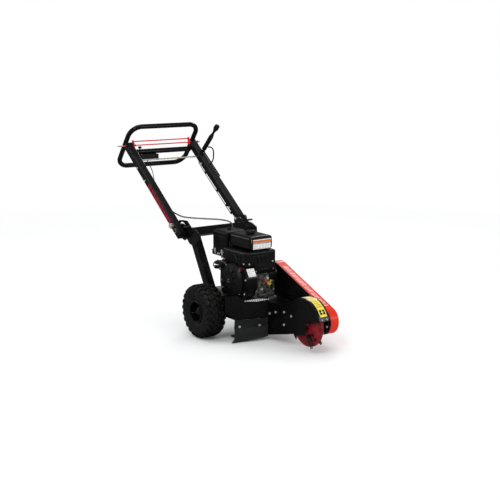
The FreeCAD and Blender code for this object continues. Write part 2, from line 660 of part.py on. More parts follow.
def make_cutter_guard():
    """A rolled shroud over the disc with a plate down each side."""
    x, z = SIZE["cutter_x"], SIZE["cutter_z"]
    outer, inner = SIZE["guard_r"], SIZE["guard_r"] - SIZE["sheet"]

    def around(radius, degrees):
        turn = math.radians(degrees)
        return FreeCAD.Vector(x + radius * math.cos(turn), z + radius * math.sin(turn), 0)

    first, last = 17, 132
    body, sketch = start_body("XZ_Plane")
    middle = (first + last) / 2
    for radius in (outer, inner):
        sketch.addGeometry(Part.Arc(around(radius, first), around(radius, middle),
                                    around(radius, last)), False)
    for degrees in (first, last):
        sketch.addGeometry(Part.LineSegment(around(outer, degrees), around(inner, degrees)), False)
    pad(body, sketch, 70)
    put(body, 0, 0, 0)

    def side(lower, depth, y, holes):
        cheek, lines = start_body("XZ_Plane")
        begin, end = around(outer, first), around(outer, last)
        lines.addGeometry(Part.Arc(begin, around(outer, middle), end), False)
        corners = [end] + [FreeCAD.Vector(px, pz, 0) for px, pz in lower] + [begin]
        for a, b in zip(corners, corners[1:]):
            lines.addGeometry(Part.LineSegment(a, b), False)
        for hx, hz, radius in holes:
            draw_circle(lines, hx, hz, radius)
        pad(cheek, lines, depth)
        return put(cheek, 0, y, 0)

    fixings = [spot for spot in WALL_BOLTS if spot[0] > 400] + [GUARD_RIVET]
    near = side([(430, 236), (430, 66), (528, 91), (554, 64), (562, 98), (634, 104), (640, 190), (720, 202)],
                "sheet", "-sheet", [(px, pz, M8_HOLE) for px, pz in fixings])
    far = side([(600, 250), (700, 216)], "sheet", "70 - sheet", [])
    keep("cutter_guard", join(body, near, far))


# ---------------------------------------------------------------- belt drive

def capsule(radius, depth, y, holes=()):
    """A plate with round ends, one about the crankshaft and one about the cutter shaft."""
    body, sketch = start_body("XZ_Plane")
    run, drop = SIZE["cutter_x"] - SIZE["crank_x"], SIZE["cutter_z"] - SIZE["crank_z"]
    draw_loop(sketch, radius, run, drop, radius)
    for x, z, size in holes:
        draw_circle(sketch, x - SIZE["crank_x"], z - SIZE["crank_z"], size)
    pad(body, sketch, depth)
    return put(body, "crank_x", y, "crank_z")


def make_belt_guard():
    """A black back plate and a deep coloured cover."""
    holes = [(SIZE["crank_x"], SIZE["crank_z"], 20), (SIZE["cutter_x"], SIZE["cutter_z"], 20)]
    holes += [(x, z, M8_HOLE) for x, z in guard_bolt_spots()]
    radius = SIZE["cover_r"]
    keep("belt_guard_back", capsule(radius, 4, "cover_y - 4", holes))
    skin = capsule(radius, "cover_depth", "cover_y")
    hollow = capsule(radius - 2.5, "cover_depth - 2.5", "cover_y - 0.01")
    keep("belt_guard_cover", cut(skin, hollow))


def make_belts():
    """Two belts side by side on two-groove pulleys."""
    run, drop = SIZE["cutter_x"] - SIZE["crank_x"], SIZE["cutter_z"] - SIZE["crank_z"]
    half = SIZE["belt_d"] / 2
    belts = []
    for side in (-1, 1):
        body, sketch = start_body("XZ_Plane")
        draw_loop(sketch, SIZE["drive_r"] + half, run, drop, SIZE["driven_r"] + half)
        draw_loop(sketch, SIZE["drive_r"] - half, run, drop, SIZE["driven_r"] - half)
        pad(body, sketch, "belt_w")
        belts.append(put(body, "crank_x", f"belt_y + {side} * belt_gap - belt_w / 2", "crank_z"))
    keep("drive_belts", group(*belts))

    bore = SIZE["axle_r"] + 0.05
    gap, groove = SIZE["belt_gap"], SIZE["belt_w"] / 2 + 0.2
    for name, line, place in (("drive_pulley", "drive_r", "crank"), ("driven_pulley", "driven_r", "cutter")):
        rim, floor = SIZE[line] + 6, SIZE[line] - half - 0.05
        outline = [(bore, -23), (rim, -23), (rim, -gap - groove), (floor, -gap - groove),
                   (floor, -gap + groove), (rim, -gap + groove), (rim, gap - groove),
                   (floor, gap - groove), (floor, gap + groove), (rim, gap + groove), (rim, 23),
                   (bore, 23)]
        keep(name, put(turned(outline), f"{place}_x", "belt_y", f"{place}_z"))


# ---------------------------------------------------------------- engine

HEAD_RISE = 10
DIPSTICK_FOOT = (218, 31, 306)
DIPSTICK_AXIS = FreeCAD.Vector(0.6, 0, 0.8)
DIPSTICK_BOSS = 34


def along_cylinder(near, far, half_height, y0, y1):
    """A block along the engine's cylinder, which leans back and a little up."""
    block = plate("XZ_Plane", [(-far, -half_height), (-near, -half_height), (-near, half_height),
                               (-far, half_height)], y1 - y0, rounding=min(3, 0.3 * (far - near)))
    return put(block, "crank_x", y0, "crank_z", FreeCAD.Rotation(Y_AXIS, HEAD_RISE))


def make_engine_block():
    """Crankcase cast in one with the finned cylinder, its side cover, head and rocker cover."""
    case = rounded(box((62, 224), (-80, 90), (248, 450)), 12)
    flange = plate("XY_Plane", [(40, -80), (246, -80), (246, 90), (40, 90)], 15, rounding=8,
                   holes=[(x, y, M8_HOLE) for x, y in ENGINE_BOLTS])
    put(flange, 0, 0, "deck_z")
    barrel = along_cylinder(70, 164, 44, -48, 48)
    fins = [along_cylinder(d, d + 3.5, 58, -62, 62) for d in range(96, 160, 11)]
    boss = rod(9, DIPSTICK_BOSS, *DIPSTICK_FOOT, DIPSTICK_AXIS)
    solid = join(case, flange, barrel, boss, *fins)
    hollow = box((80, 208), (-62, 72), (262, 432))
    keep("crankcase", cut(solid, hollow, rod(17.6, 200, "crank_x", -90, "crank_z")))
    cover = plate("XZ_Plane", [(-74, -74), (74, -74), (74, 74), (-74, 74)], 14, rounding=50,
                  holes=[(0, 0, 17.6)])
    keep("side_cover", put(cover, "crank_x", 90.1, "crank_z"))
    head = [along_cylinder(164.2, 172, 60, -62, 62), along_cylinder(172, 204, 46, -50, 50)]
    head += [along_cylinder(d, d + 3.5, 58, -60, 60) for d in (179, 188, 197)]
    keep("cylinder_head", join(*head))
    keep("rocker_cover", along_cylinder(204.2, 236, 42, -44, 44))
    boot_axis = FreeCAD.Vector(-0.86, -0.51, 0).normalize()
    boot = join(rod(8, 30, -62, -66, 392, boot_axis), rod(12, 62, -84, -79, 392, boot_axis))
    keep("spark_plug_boot", boot)


def make_crank():
    """The crankshaft with its webs and pin, and the flywheel fan."""
    journal = turned([(0, -148), (12, -148), (12, -100), (17.5, -100), (17.5, -34), (0, -34)])
    output = turned([(0, 26), (17.5, 26), (17.5, 106), (12.7, 106), (12.7, 190), (0, 190)])
    webs = [rod(46, 14, "crank_x", y, "crank_z") for y in (-36, 24)]
    pin = rod(16, 70, "crank_x + 28", -32, "crank_z")
    ends = [put(piece, "crank_x", 0, "crank_z") for piece in (journal, output)]
    keep("crankshaft", join(*ends, *webs, pin))
    disc = turned([(12.05, -134), (30, -134), (30, -112), (80, -112), (80, -104), (12.05, -104)])
    put(disc, "crank_x", 0, "crank_z")
    blades = []
    for k in range(12):
        turn = FreeCAD.Rotation(Y_AXIS, 30 * k)
        blade = plate("XZ_Plane", [(38, -1.5), (78, -1.5), (78, 1.5), (38, 1.5)], 24)
        blades.append(put(blade, "crank_x", -135, "crank_z", turn))
    keep("flywheel_fan", join(disc, *blades))


def make_starter():
    """The blower housing, the recoil starter's cover and its pull grip."""
    outline = [(22, 268), (240, 268), (284, 330), (284, 398), (246, 456), (58, 456), (6, 420), (2, 330)]
    middle_x, middle_z, shrink = 144, 362, 0.965
    inner = [(middle_x + (x - middle_x) * shrink, middle_z + (z - middle_z) * shrink) for x, z in outline]
    skin = put(plate("XZ_Plane", outline, 79, rounding=26), 0, -165, 0)
    hollow = put(plate("XZ_Plane", inner, 80, rounding=24), 0, -162.5, 0)
    keep("blower_housing", cut(skin, hollow, rod(84, 10, "crank_x", -170, "crank_z")))
    cover = turned([(99, -165.1), (103, -165.1), (103, -176), (92, -190), (60, -199), (22, -202), (0, -202),
                    (0, -199.5), (22, -199.5), (60, -196.5), (90, -187.5), (99, -175)])
    put(cover, "crank_x", 0, "crank_z")
    slots = []
    for k in range(10):
        turn = FreeCAD.Rotation(Y_AXIS, 36 * k + 10)
        slot = plate("XZ_Plane", [(42, -6), (80, -9), (80, 9), (42, 6)], 30, rounding=4)
        slots.append(put(slot, "crank_x", -210, "crank_z", turn))
    keep("recoil_cover", cut(cover, *slots))
    grip_x, grip_z = 28, 452
    bar = rounded(box((grip_x - 42, grip_x + 42), (-200, -178), (grip_z - 11, grip_z + 11)), 9)
    keep("recoil_grip", bar)


def make_fuel_tank():
    """The tank with its filler neck and cap, and the black shroud under it."""
    tank = shell((25, 250), (-112, 54), (549, 634), 5, 20)
    x, y, rim_z, grip_r = 142, -36, 639.2, 28
    neck = rod(22, 9, x, y, 630, Z_AXIS)
    keep("fuel_tank", cut(join(tank, neck), rod(17, 20, x, y, 625, Z_AXIS)))
    lid = [rod(29, 14, x, y, rim_z, Z_AXIS), rod(16.8, 8, x, y, 631.4, Z_AXIS)]
    for k in range(8):
        turn = k * math.pi / 4
        lid.append(rod(4, 14, x + grip_r * math.cos(turn), y + grip_r * math.sin(turn), rim_z, Z_AXIS))
    keep("fuel_cap", join(*lid))
    keep("engine_shroud", shell((8, 252), (-150, 75), (462, 546), 4, 14, open_below=True))


def make_intake():
    """Air cleaner, carburettor and the two small levers beneath it."""
    base = box((-150, 2), (-122, 34), (474, 498))
    elbow = rod(20, 24, -30, -84, 455, Z_AXIS)
    keep("air_cleaner_base", join(base, elbow))
    keep("air_cleaner_cover", shell((-150, 2), (-122, 34), (498.1, 631), 5, 16, open_below=True))
    body = box((-58, -4), (-112, -66), (404, 454.9))
    bowl = rod(20, 26, -31, -89, 378.5, Z_AXIS)
    keep("carburettor", join(body, bowl))
    choke_x, choke_z = -44, 440
    pin = rod(3, 8, choke_x, -120.2, choke_z)
    arm = box((choke_x - 46, choke_x + 6), (-123, -120), (choke_z - 5, choke_z + 5))
    keep("choke_lever", join(pin, arm))
    valve_x, valve_z = -31, 392
    pin = rod(3, 11, valve_x, -120.2, valve_z)
    arm = box((valve_x - 36, valve_x + 5), (-123, -120), (valve_z - 5, valve_z + 5))
    keep("fuel_valve_lever", join(pin, arm))


def make_exhaust():
    """The muffler behind the engine with a perforated guard."""
    can = shell((-124, 2), (64, 120), (384, 520), 3, 18)
    pipe = rod(13, 4, -32, 62.2, 420)
    tail = rod(11, 32, -122, 92, 486, -X_AXIS)
    muffler = cut(join(can, pipe, tail), rod(9, 36, -119, 92, 486, -X_AXIS))
    body, sketch = start_body("XZ_Plane")
    draw_outline(sketch, [(-118, 392), (-4, 392), (-4, 512), (-118, 512)], 12)
    for column in range(6):
        for row in range(6):
            draw_circle(sketch, -103 + 17 * column, 408 + 17.5 * row, 5)
    pad(body, sketch, 2)
    put(body, 0, 124, 0)
    posts = [rod(4, 5, x, 119.5, z) for x in (-110, -12) for z in (400, 504)]
    keep("muffler", join(muffler, body, *posts))


def make_dipstick():
    axis = DIPSTICK_AXIS
    start = FreeCAD.Vector(*DIPSTICK_FOOT) + axis * (DIPSTICK_BOSS + 0.4)
    stem = rod(5, 24, *start, axis)
    cap = rod(12, 9, *start, axis)
    tab = box((start.x + 14, start.x + 22), (28, 34), (start.z + 18, start.z + 30))
    keep("dipstick", join(stem, cap, tab))


# ---------------------------------------------------------------- handle

def handle_spot(reach, lift=0):
    """x and z of a point on the handle: distance from its lower end, and height off its middle."""
    rise = math.radians(SIZE["handle_rise"])
    start_x = SIZE["hinge_x"] + SIZE["upright_end"] * math.cos(rise)
    start_z = SIZE["hinge_z"] - SIZE["upright_end"] * math.sin(rise)
    return (start_x - reach * math.cos(rise) + lift * math.sin(rise),
            start_z + reach * math.sin(rise) + lift * math.cos(rise))


LEVER_PIVOT = (-925, 1000)
CLAMP_REACH = 95


def upright_bolts(side):
    """Reach, face and facing of each small bolt: outside the right upright, inside the left."""
    if side < 0:
        return [(reach, "-upright_y - upright_w", -Y_AXIS) for reach in (635, 512)]
    return [(reach, "upright_y", -Y_AXIS) for reach in (635, 205)]


def make_quadrant():
    """The plate on the left upright that the brake lever turns on."""
    quadrant = plate("XZ_Plane", [(-950, 985), (-925, 970), (-850, 950), (-835, 975), (-880, 1010),
                                  (-905, 1025), (-940, 1018)], 4, rounding=8,
                     holes=[(LEVER_PIVOT[0], LEVER_PIVOT[1], 5.1)])
    return put(quadrant, 0, "upright_y + upright_w", 0)


def make_uprights():
    """Two square tubes, drilled for the hinge, clamp, bail and side bolts."""
    along = FreeCAD.Rotation(Y_AXIS, SIZE["handle_rise"] - 180)
    tubes = []
    for side in (-1, 1):
        body, sketch = start_body("YZ_Plane")
        width, depth, wall = SIZE["upright_w"], SIZE["upright_d"], SIZE["tube_wall"]
        for inset, corner in ((0, 5), (wall, 2.5)):
            w, h = width / 2 - inset, depth / 2 - inset
            draw_outline(sketch, [(-w, -h), (w, -h), (w, h), (-w, h)], corner)
        pad(body, sketch, "upright_len")
        x, z = handle_spot(0)
        put(body, x, f"{side} * (upright_y + upright_w / 2)", z, along)
        drills = [rod(6.1, 60, "hinge_x", f"{side} * (upright_y + upright_w / 2) - 30", "hinge_z"),
                  rod(M8_HOLE, 60, "bail_x", f"{side} * (upright_y + upright_w / 2) - 30", "bail_z")]
        x, z = handle_spot(CLAMP_REACH)
        drills.append(rod(5.1, 60, x, f"{side} * (upright_y + upright_w / 2) - 30", z))
        for reach, face, outward in upright_bolts(side):
            x, z = handle_spot(reach, -8)
            drills.append(rod(M8_HOLE, 10, x, f"({face}) - 5", z))
        tubes.append(cut(body, *drills))
    tubes[1] = join(tubes[1], make_quadrant())
    keep("handle_uprights", group(*tubes))

    bolts = []
    for side in (1, -1):
        outward = Y_AXIS * side
        face = f"{side} * (upright_y + upright_w + 0.1)"
        x, z = handle_spot(CLAMP_REACH)
        knob = rod(17, 16, x, face, z, outward)
        shank = rod(5, "upright_w + 18", x, f"{side} * (bracket_y - 5)", z, outward)
        nut = hexagon(9.5, 7.9, x, f"{side} * (bracket_y - 8)", z, outward)
        bolts.append(join(knob, shank, nut))
        for reach, face, facing in upright_bolts(side):
            x, z = handle_spot(reach, -8)
            bolts.append(bolt(x, f"({face}) + ({0.1 * facing.y})", z, facing, 14, nut=False))
    keep("handle_bolts", group(*bolts))


def make_hand_loop():
    """The round tube hand loop, square to the uprights, and the bars between them."""
    rise = math.radians(SIZE["handle_rise"])
    lean = FreeCAD.Vector(math.sin(rise), 0, math.cos(rise))
    middle = FreeCAD.Vector(SIZE["axle_x"] + SIZE["loop_x"], 0, SIZE["loop_z"])
    half, side = SIZE["loop_half"], SIZE["loop_y"]
    corners = [middle + lean * half * a + Y_AXIS * side * b for a, b in ((1, -1), (1, 1), (-1, 1), (-1, -1))]
    outer = bent_tube(corners, 78, SIZE["loop_r"], closed=True)
    inner = bent_tube(corners, 78, SIZE["loop_r"] - SIZE["tube_wall"], closed=True)
    keep("hand_loop", cut(outer, inner))
    bar = rod(17, "2 * upright_y - 0.2", -955, "-upright_y + 0.1", 1050)
    keep("cross_bar", cut(bar, rod(14.5, "2 * upright_y + 4", -955, "-upright_y - 2", 1050)))
    x, z = handle_spot(714, -16)
    keep("brace_rod", rod(5, "2 * upright_y - 0.2", x, "-upright_y + 0.1", z))


def make_controls():
    """The control box with its throttle lever and stop button, both at one level."""
    level, button_y = 1012, -120
    lever_x, lever_y = -922, -190
    panel = rounded(box((-978, -914), (-222, -48), (990, 1032.9)), 5)
    slot = box((lever_x - 10, lever_x + 10), (lever_y - 4, lever_y + 4), (1000, 1040))
    well = rod(8.2, 30, -980, button_y, level, X_AXIS)
    keep("control_box", cut(panel, slot, well))
    pivot = rod(4, 7.6, lever_x, lever_y - 3.8, level)
    stalk = rod(3, 64, lever_x, lever_y, level, Z_AXIS)
    knob = rod(11, 16, lever_x, lever_y, 1074, Z_AXIS)
    keep("throttle_lever", join(pivot, stalk, rounded(knob, 5)))
    plunger = rod(8, 30, -990, button_y, level, X_AXIS)
    keep("stop_button", join(plunger, rod(11, 5, -994, button_y, level, X_AXIS)))


def make_bail():
    """The red bail the operator holds: a pivot rod, a grip rod and a plate at each end."""
    pivot = rod(4, 642, "bail_x", -342, "bail_z")
    grip = rod(4, 438, "bail_x - 14", -219, "bail_z + 25")
    cheeks = []
    cheek_outline = [(8, -14), (8, 6), (-6, 34), (-24, 34), (-20, 10), (-10, -14)]
    for y in (-222, 216):
        cheek = plate("XZ_Plane", cheek_outline, 6, rounding=4)
        cheeks.append(put(cheek, "bail_x", y, "bail_z"))
    blade = plate("XY_Plane", [(-9, 277), (9, 277), (4, 304), (-4, 304)], 5)
    put(blade, "bail_x", 0, "bail_z - 2.5")
    keep("operator_bail", join(pivot, grip, blade, *cheeks))


def make_brake_lever():
    """The lever beside the left upright and the pull rod that hangs from it."""
    pivot_x, pivot_z = LEVER_PIVOT
    lean = math.radians(45)
    axis = FreeCAD.Vector(math.cos(lean), 0, math.sin(lean))
    start = FreeCAD.Vector(pivot_x, 291, pivot_z)
    shaft = rod(5, 20, pivot_x, 276, pivot_z)
    blade = rod(8, 70, *(start), axis)
    grip = rounded(rod(15.5, 138, *(start + axis * 66), axis), 5)
    neck = rod(8.5, 90, *(start + axis * 200), axis)
    knob = rounded(rod(18, 42, *(start + axis * 272), axis), 12)
    eye = start + axis * 40
    pin = rod(3.5, 16, eye.x, 291, eye.z)
    keep("brake_lever", join(shaft, blade, grip, neck, knob, pin))
    strip = plate("XZ_Plane", [(-13, -13), (13, -13), (13, -8), (250, -8), (250, 8), (13, 8), (13, 13),
                               (-13, 13)], 4, rounding=2, holes=[(0, 0, 8)])
    put(strip, eye.x, 300, eye.z, FreeCAD.Rotation(Y_AXIS, SIZE["handle_rise"]))
    keep("brake_rod", strip)


def make_all():
    make_sheet()
    for build in (make_wheels, make_axle, make_base_frame, make_step_plate, make_mast, make_hinge,
                  make_front_shield, make_frame_bolts, make_cutter, make_cutter_bearings,
                  make_cutter_guard, make_belt_guard, make_belts, make_engine_block, make_crank,
                  make_starter, make_fuel_tank, make_intake, make_exhaust, make_dipstick,
                  make_uprights, make_hand_loop, make_controls, make_bail, make_brake_lever):
        build()
    doc.recompute()


def check_and_write():
    """Stops if anything failed, then writes one file for each sub-part."""
    for thing in doc.Objects:
        if "Invalid" in thing.State or "Error" in thing.State:
            raise SystemExit(f"{thing.Name} ({thing.Label}) failed: {thing.State}")
    for name, thing in nodes.items():
        if thing.Shape.isNull() or not thing.Shape.isValid() or not thing.Shape.Solids:
            raise SystemExit(f"{name} has no valid solid")
    os.makedirs("parts", exist_ok=True)
    for name, thing in nodes.items():
        thing.Shape.exportStep(f"parts/{name}.step")
    whole = FreeCAD.BoundBox()
    for thing in nodes.values():
        whole.add(thing.Shape.BoundBox)
    print(len(nodes), "sub-parts", whole)


make_all()
check_and_write()
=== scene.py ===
import json
import math

import bmesh
import bpy
from mathutils import Matrix, Vector


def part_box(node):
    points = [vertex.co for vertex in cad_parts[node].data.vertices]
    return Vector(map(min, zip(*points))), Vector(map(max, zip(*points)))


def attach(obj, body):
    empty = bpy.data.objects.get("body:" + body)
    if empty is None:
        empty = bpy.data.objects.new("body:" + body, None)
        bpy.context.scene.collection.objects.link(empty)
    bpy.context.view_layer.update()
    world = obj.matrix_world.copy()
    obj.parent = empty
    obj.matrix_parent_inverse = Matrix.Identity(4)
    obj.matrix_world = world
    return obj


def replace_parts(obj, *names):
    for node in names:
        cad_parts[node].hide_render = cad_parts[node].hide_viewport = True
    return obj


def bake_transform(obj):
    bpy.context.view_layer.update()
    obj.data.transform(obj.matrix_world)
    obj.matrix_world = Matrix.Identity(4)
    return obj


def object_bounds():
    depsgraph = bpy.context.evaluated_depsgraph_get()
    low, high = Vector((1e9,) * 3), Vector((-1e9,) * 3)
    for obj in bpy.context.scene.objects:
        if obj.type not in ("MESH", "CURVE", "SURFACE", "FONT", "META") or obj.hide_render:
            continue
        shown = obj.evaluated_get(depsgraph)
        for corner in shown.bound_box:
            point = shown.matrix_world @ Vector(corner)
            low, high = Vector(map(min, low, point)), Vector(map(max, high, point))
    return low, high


# The looks of a walk-behind stump grinder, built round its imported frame.
# +X is forwards to the cutter, +Y the operator's left, +Z up. Shapes are worked out in
# millimetres; Shape.done brings each mesh to the frame's metres. Materials are in metres.

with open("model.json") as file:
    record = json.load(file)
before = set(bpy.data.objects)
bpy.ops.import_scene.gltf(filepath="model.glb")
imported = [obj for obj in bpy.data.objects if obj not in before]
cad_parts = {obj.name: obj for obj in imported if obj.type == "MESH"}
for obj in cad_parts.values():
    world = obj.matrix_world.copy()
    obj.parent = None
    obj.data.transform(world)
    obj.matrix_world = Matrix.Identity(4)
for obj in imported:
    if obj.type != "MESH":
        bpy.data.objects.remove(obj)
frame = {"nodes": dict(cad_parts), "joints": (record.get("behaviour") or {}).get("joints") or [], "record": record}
cad_low, cad_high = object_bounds()

MM = 0.001
X = Vector((1, 0, 0))
Y = Vector((0, 1, 0))
Z = Vector((0, 0, 1))
JOINTS = {joint["name"]: joint for joint in frame["joints"]}


def pivot(joint):
    """A point on a joint's axis."""
    return Vector(JOINTS[joint]["pos_m"]) / MM


def box(node):
    """A node's low and high corners."""
    low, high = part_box(node)
    return Vector(low) / MM, Vector(high) / MM


AXLE = pivot("wheel_right_spin")
CRANK = pivot("crank_spin")
CUTTER = pivot("cutter_spin")
HINGE = pivot("handle_fold")
SIDES = (("right", -1), ("left", 1))


def at(node, fx, fy, fz, dx=0.0, dy=0.0, dz=0.0):
    """A point of a node's box, 0 at its low side and 1 at its high side, moved a little."""
    low, high = box(node)
    shares = Vector((fx, fy, fz))
    return low + (high - low) * shares + Vector((dx, dy, dz))


def spot(x, y, z):
    """A point with its x counted forwards from the wheels' axle."""
    return Vector((AXLE.x + x, y, z))


# ---------------- materials

class NodeTree:
    """A node tree, built with short calls."""

    def __init__(self, owner):
        owner.use_nodes = True
        self.tree = owner.node_tree

    def node(self, kind, inputs=None, **settings):
        made = self.tree.nodes.new(kind)
        for key, value in settings.items():
            setattr(made, key, value)
        for key, value in (inputs or {}).items():
            self.set(made.inputs[key], value)
        return made

    def set(self, socket, value):
        """Links an output to the socket, or gives it a value."""
        if isinstance(value, bpy.types.NodeSocket):
            self.tree.links.new(value, socket)
        elif isinstance(value, tuple) and len(value) == 3 and socket.type == "RGBA":
            socket.default_value = (*value, 1.0)
        else:
            socket.default_value = value

    def either(self, factor, first, second):
        """One shader or the other."""
        return self.node("ShaderNodeMixShader", {0: factor, 1: first, 2: second}).outputs[0]


class Surface(NodeTree):
    """A material that is painted by noise in the object's own space."""

    def __init__(self, name):
        self.material = bpy.data.materials.new(name)
        super().__init__(self.material)
        self.shader = self.tree.nodes["Principled BSDF"]
        self.place = self.node("ShaderNodeTexCoord").outputs["Object"]

    def noise(self, scale, detail=4.0, stretch=(1, 1, 1)):
        place = self.node("ShaderNodeMapping", {"Vector": self.place, "Scale": stretch}).outputs[0]
        inputs = {"Vector": place, "Scale": scale, "Detail": detail}
        return self.node("ShaderNodeTexNoise", inputs).outputs[0]

    def spread(self, value, low, high, to_low=0.0, to_high=1.0):
        inputs = {0: value, 1: low, 2: high, 3: to_low, 4: to_high}
        return self.node("ShaderNodeMapRange", inputs).outputs[0]

    def calc(self, operation, first, second):
        return self.node("ShaderNodeMath", {0: first, 1: second}, operation=operation).outputs[0]

    def mix(self, factor, first, second):
        return self.node("ShaderNodeMix", {0: factor, 6: first, 7: second}, data_type="RGBA").outputs[2]

    def rounded(self, radius):
        return self.node("ShaderNodeBevel", {"Radius": radius}, samples=4).outputs[0]

    def paint(self, **inputs):
        """Sets inputs of the principled shader, named in lower case with underscores."""
        for key, value in inputs.items():
            title = key.replace("_", " ").title().replace("Ior", "IOR")
            self.set(self.shader.inputs[title], value)


DUST = (0.30, 0.27, 0.22)


def finish(tint, rough, metal=0.0, mottle=0.25, grain=700, bump=0.00003, edge_wear_and_highlight=None, dust=0.0,
           coat=0.0, specular=0.5, stain=None, brush=(1, 1, 1)):
    """A surface with cloudy colour, uneven roughness, grain, coloured edges and dust on its top sides; the edge
    colour is worn paint on most finishes and a painted highlight on tooth_steel and strip_black.
    """
    made = Surface("finish")
    darker = tuple(c * (1 - mottle) for c in tint)
    lighter = tuple(min(1, c * (1 + mottle)) for c in tint)
    colour = made.mix(made.spread(made.noise(16, 6), 0.35, 0.65), darker, lighter)
    roughness = made.spread(made.noise(70, 5), 0.3, 0.7, rough - 0.05, rough + 0.07)
    normal = made.node("ShaderNodeNewGeometry").outputs["Normal"]
    if stain is not None:
        colour = made.mix(made.spread(made.noise(42, 7), 0.46, 0.62), colour, stain)
    # Colour along rounded edges: worn paint on most finishes, a painted highlight where the edge colour stands in
    # for lit edges.
    if edge_wear_and_highlight is not None:
        vectors = {0: normal, 1: made.rounded(0.0022)}
        turned = made.node("ShaderNodeVectorMath", vectors, operation="DOT_PRODUCT").outputs["Value"]
        patches = made.spread(made.noise(55, 8), 0.52, 0.66)
        edge_wear_and_highlight_mask = made.calc("MULTIPLY", made.spread(turned, 0.995, 0.93), patches)
        colour = made.mix(edge_wear_and_highlight_mask, colour, edge_wear_and_highlight)
        roughness = made.calc("ADD", roughness, made.calc("MULTIPLY", edge_wear_and_highlight_mask, 0.15))
    if dust > 0:
        upward = made.node("ShaderNodeSeparateXYZ", {0: normal}).outputs[2]
        patches = made.spread(made.noise(24, 8), 0.4, 0.75)
        settled = made.calc("MULTIPLY", made.spread(upward, 0.2, 1.0), patches)
        colour = made.mix(made.calc("MULTIPLY", settled, dust), colour, DUST)
    relief = {"Height": made.noise(grain, 3, brush), "Distance": bump, "Normal": made.rounded(0.0012),
              "Strength": 1.0}
    bumped = made.node("ShaderNodeBump", relief).outputs[0]
    made.paint(base_color=colour, roughness=roughness, metallic=metal, specular_ior_level=specular,
               coat_weight=coat, coat_roughness=0.12, normal=bumped)
    return made.material


STEEL = (0.45, 0.44, 0.42)
WORN_PAINT = (0.05, 0.05, 0.05)
MATERIALS = {
    "powder_black": finish((0.0022, 0.0022, 0.0025), 0.30, grain=900, bump=0.00005, edge_wear_and_highlight=WORN_PAINT,
                           dust=0.02, coat=0.25, specular=0.3),
    "engine_black": finish((0.0026, 0.0026, 0.003), 0.34, grain=1100, edge_wear_and_highlight=WORN_PAINT, dust=0.02,
                           coat=0.15, specular=0.35),
    "guard_orange": finish((0.66, 0.024, 0.007), 0.32, mottle=0.06, grain=800, edge_wear_and_highlight=(0.40, 0.06, 0.03),
                           coat=0.2, specular=0.25),
    "disc_red": finish((0.22, 0.004, 0.010), 0.42, mottle=0.3, edge_wear_and_highlight=STEEL, grain=600, bump=0.00006,
                       stain=(0.12, 0.006, 0.008), specular=0.35),
    "bail_red": finish((0.72, 0.022, 0.022), 0.3, mottle=0.08, edge_wear_and_highlight=(0.3, 0.05, 0.05), coat=0.4),
    "zinc": finish((0.70, 0.69, 0.66), 0.3, metal=0.55, mottle=0.15, grain=1500, stain=(0.5, 0.48, 0.42)),
    "raw_steel": finish((0.36, 0.34, 0.31), 0.4, metal=0.9, grain=900, brush=(1, 30, 1), bump=0.00005,
                        stain=(0.2, 0.17, 0.13)),
    "dark_zinc": finish((0.10, 0.10, 0.095), 0.4, metal=0.9, mottle=0.3, grain=1300,
                        stain=(0.03, 0.03, 0.028)),
    # The warm gold edge colour is a painted highlight along the holders' edges.
    "tooth_steel": finish((0.11, 0.085, 0.05), 0.4, metal=0.8, mottle=0.5, bump=0.0001,
                          stain=(0.02, 0.016, 0.01), edge_wear_and_highlight=(0.5, 0.45, 0.35)),
    # The light grey edge colour is a painted highlight along the strip's edges.
    "strip_black": finish((0.010, 0.010, 0.011), 0.4, grain=500, edge_wear_and_highlight=(0.5, 0.5, 0.5)),
    "carbide": finish((0.30, 0.31, 0.30), 0.35, metal=0.9, grain=1200, stain=(0.12, 0.11, 0.09)),
    "cast_alloy": finish((0.40, 0.40, 0.36), 0.45, metal=0.85, mottle=0.45, grain=420, bump=0.00022,
                         stain=(0.07, 0.07, 0.055), dust=0.05),
    "step_grey": finish((0.30, 0.30, 0.30), 0.75, mottle=0.35, grain=520, bump=0.0009,
                        stain=(0.20, 0.20, 0.20), dust=0.15),
    "tyre_rubber": finish((0.0045, 0.005, 0.0045), 0.55, mottle=0.4, grain=650, bump=0.00018, dust=0.05,
                          stain=(0.010, 0.010, 0.009), specular=0.35),
    "soft_rubber": finish((0.004, 0.0045, 0.0045), 0.30, grain=240, bump=0.00012, specular=0.6),
    "flap_rubber": finish((0.010, 0.011, 0.011), 0.36, grain=240, bump=0.00012, specular=1.0, coat=0.3),
    "belt_rubber": finish((0.015, 0.015, 0.015), 0.75, grain=1300, bump=0.0001),
    "black_plastic": finish((0.0035, 0.0035, 0.0038), 0.42, grain=1600, bump=0.00009, dust=0.02,
                            specular=0.4),
    "gloss_plastic": finish((0.004, 0.004, 0.0045), 0.22, grain=1200, coat=0.4),
    "yellow_plastic": finish((0.46, 0.38, 0.05), 0.4, mottle=0.1, grain=1200),
    "red_plastic": finish((0.55, 0.012, 0.02), 0.35, mottle=0.1, grain=1200),
    "label_white": finish((0.78, 0.78, 0.76), 0.4, mottle=0.05, grain=1500, bump=0.00001,
                          stain=(0.66, 0.66, 0.63)),
    "label_grey": finish((0.34, 0.34, 0.33), 0.45, mottle=0.1),
    "label_orange": finish((0.60, 0.13, 0.02), 0.4, mottle=0.05),
    "label_yellow": finish((0.82, 0.66, 0.06), 0.38, mottle=0.06, stain=(0.70, 0.58, 0.08)),
    "label_ochre": finish((0.42, 0.33, 0.05), 0.45, mottle=0.1),
    "decal_red": finish((0.30, 0.005, 0.022), 0.35, mottle=0.15),
    "decal_white": finish((0.80, 0.74, 0.72), 0.35, mottle=0.06),
    "print_black": finish((0.012, 0.012, 0.012), 0.4, mottle=0.2),
}
for look, material in MATERIALS.items():
    material.name = look

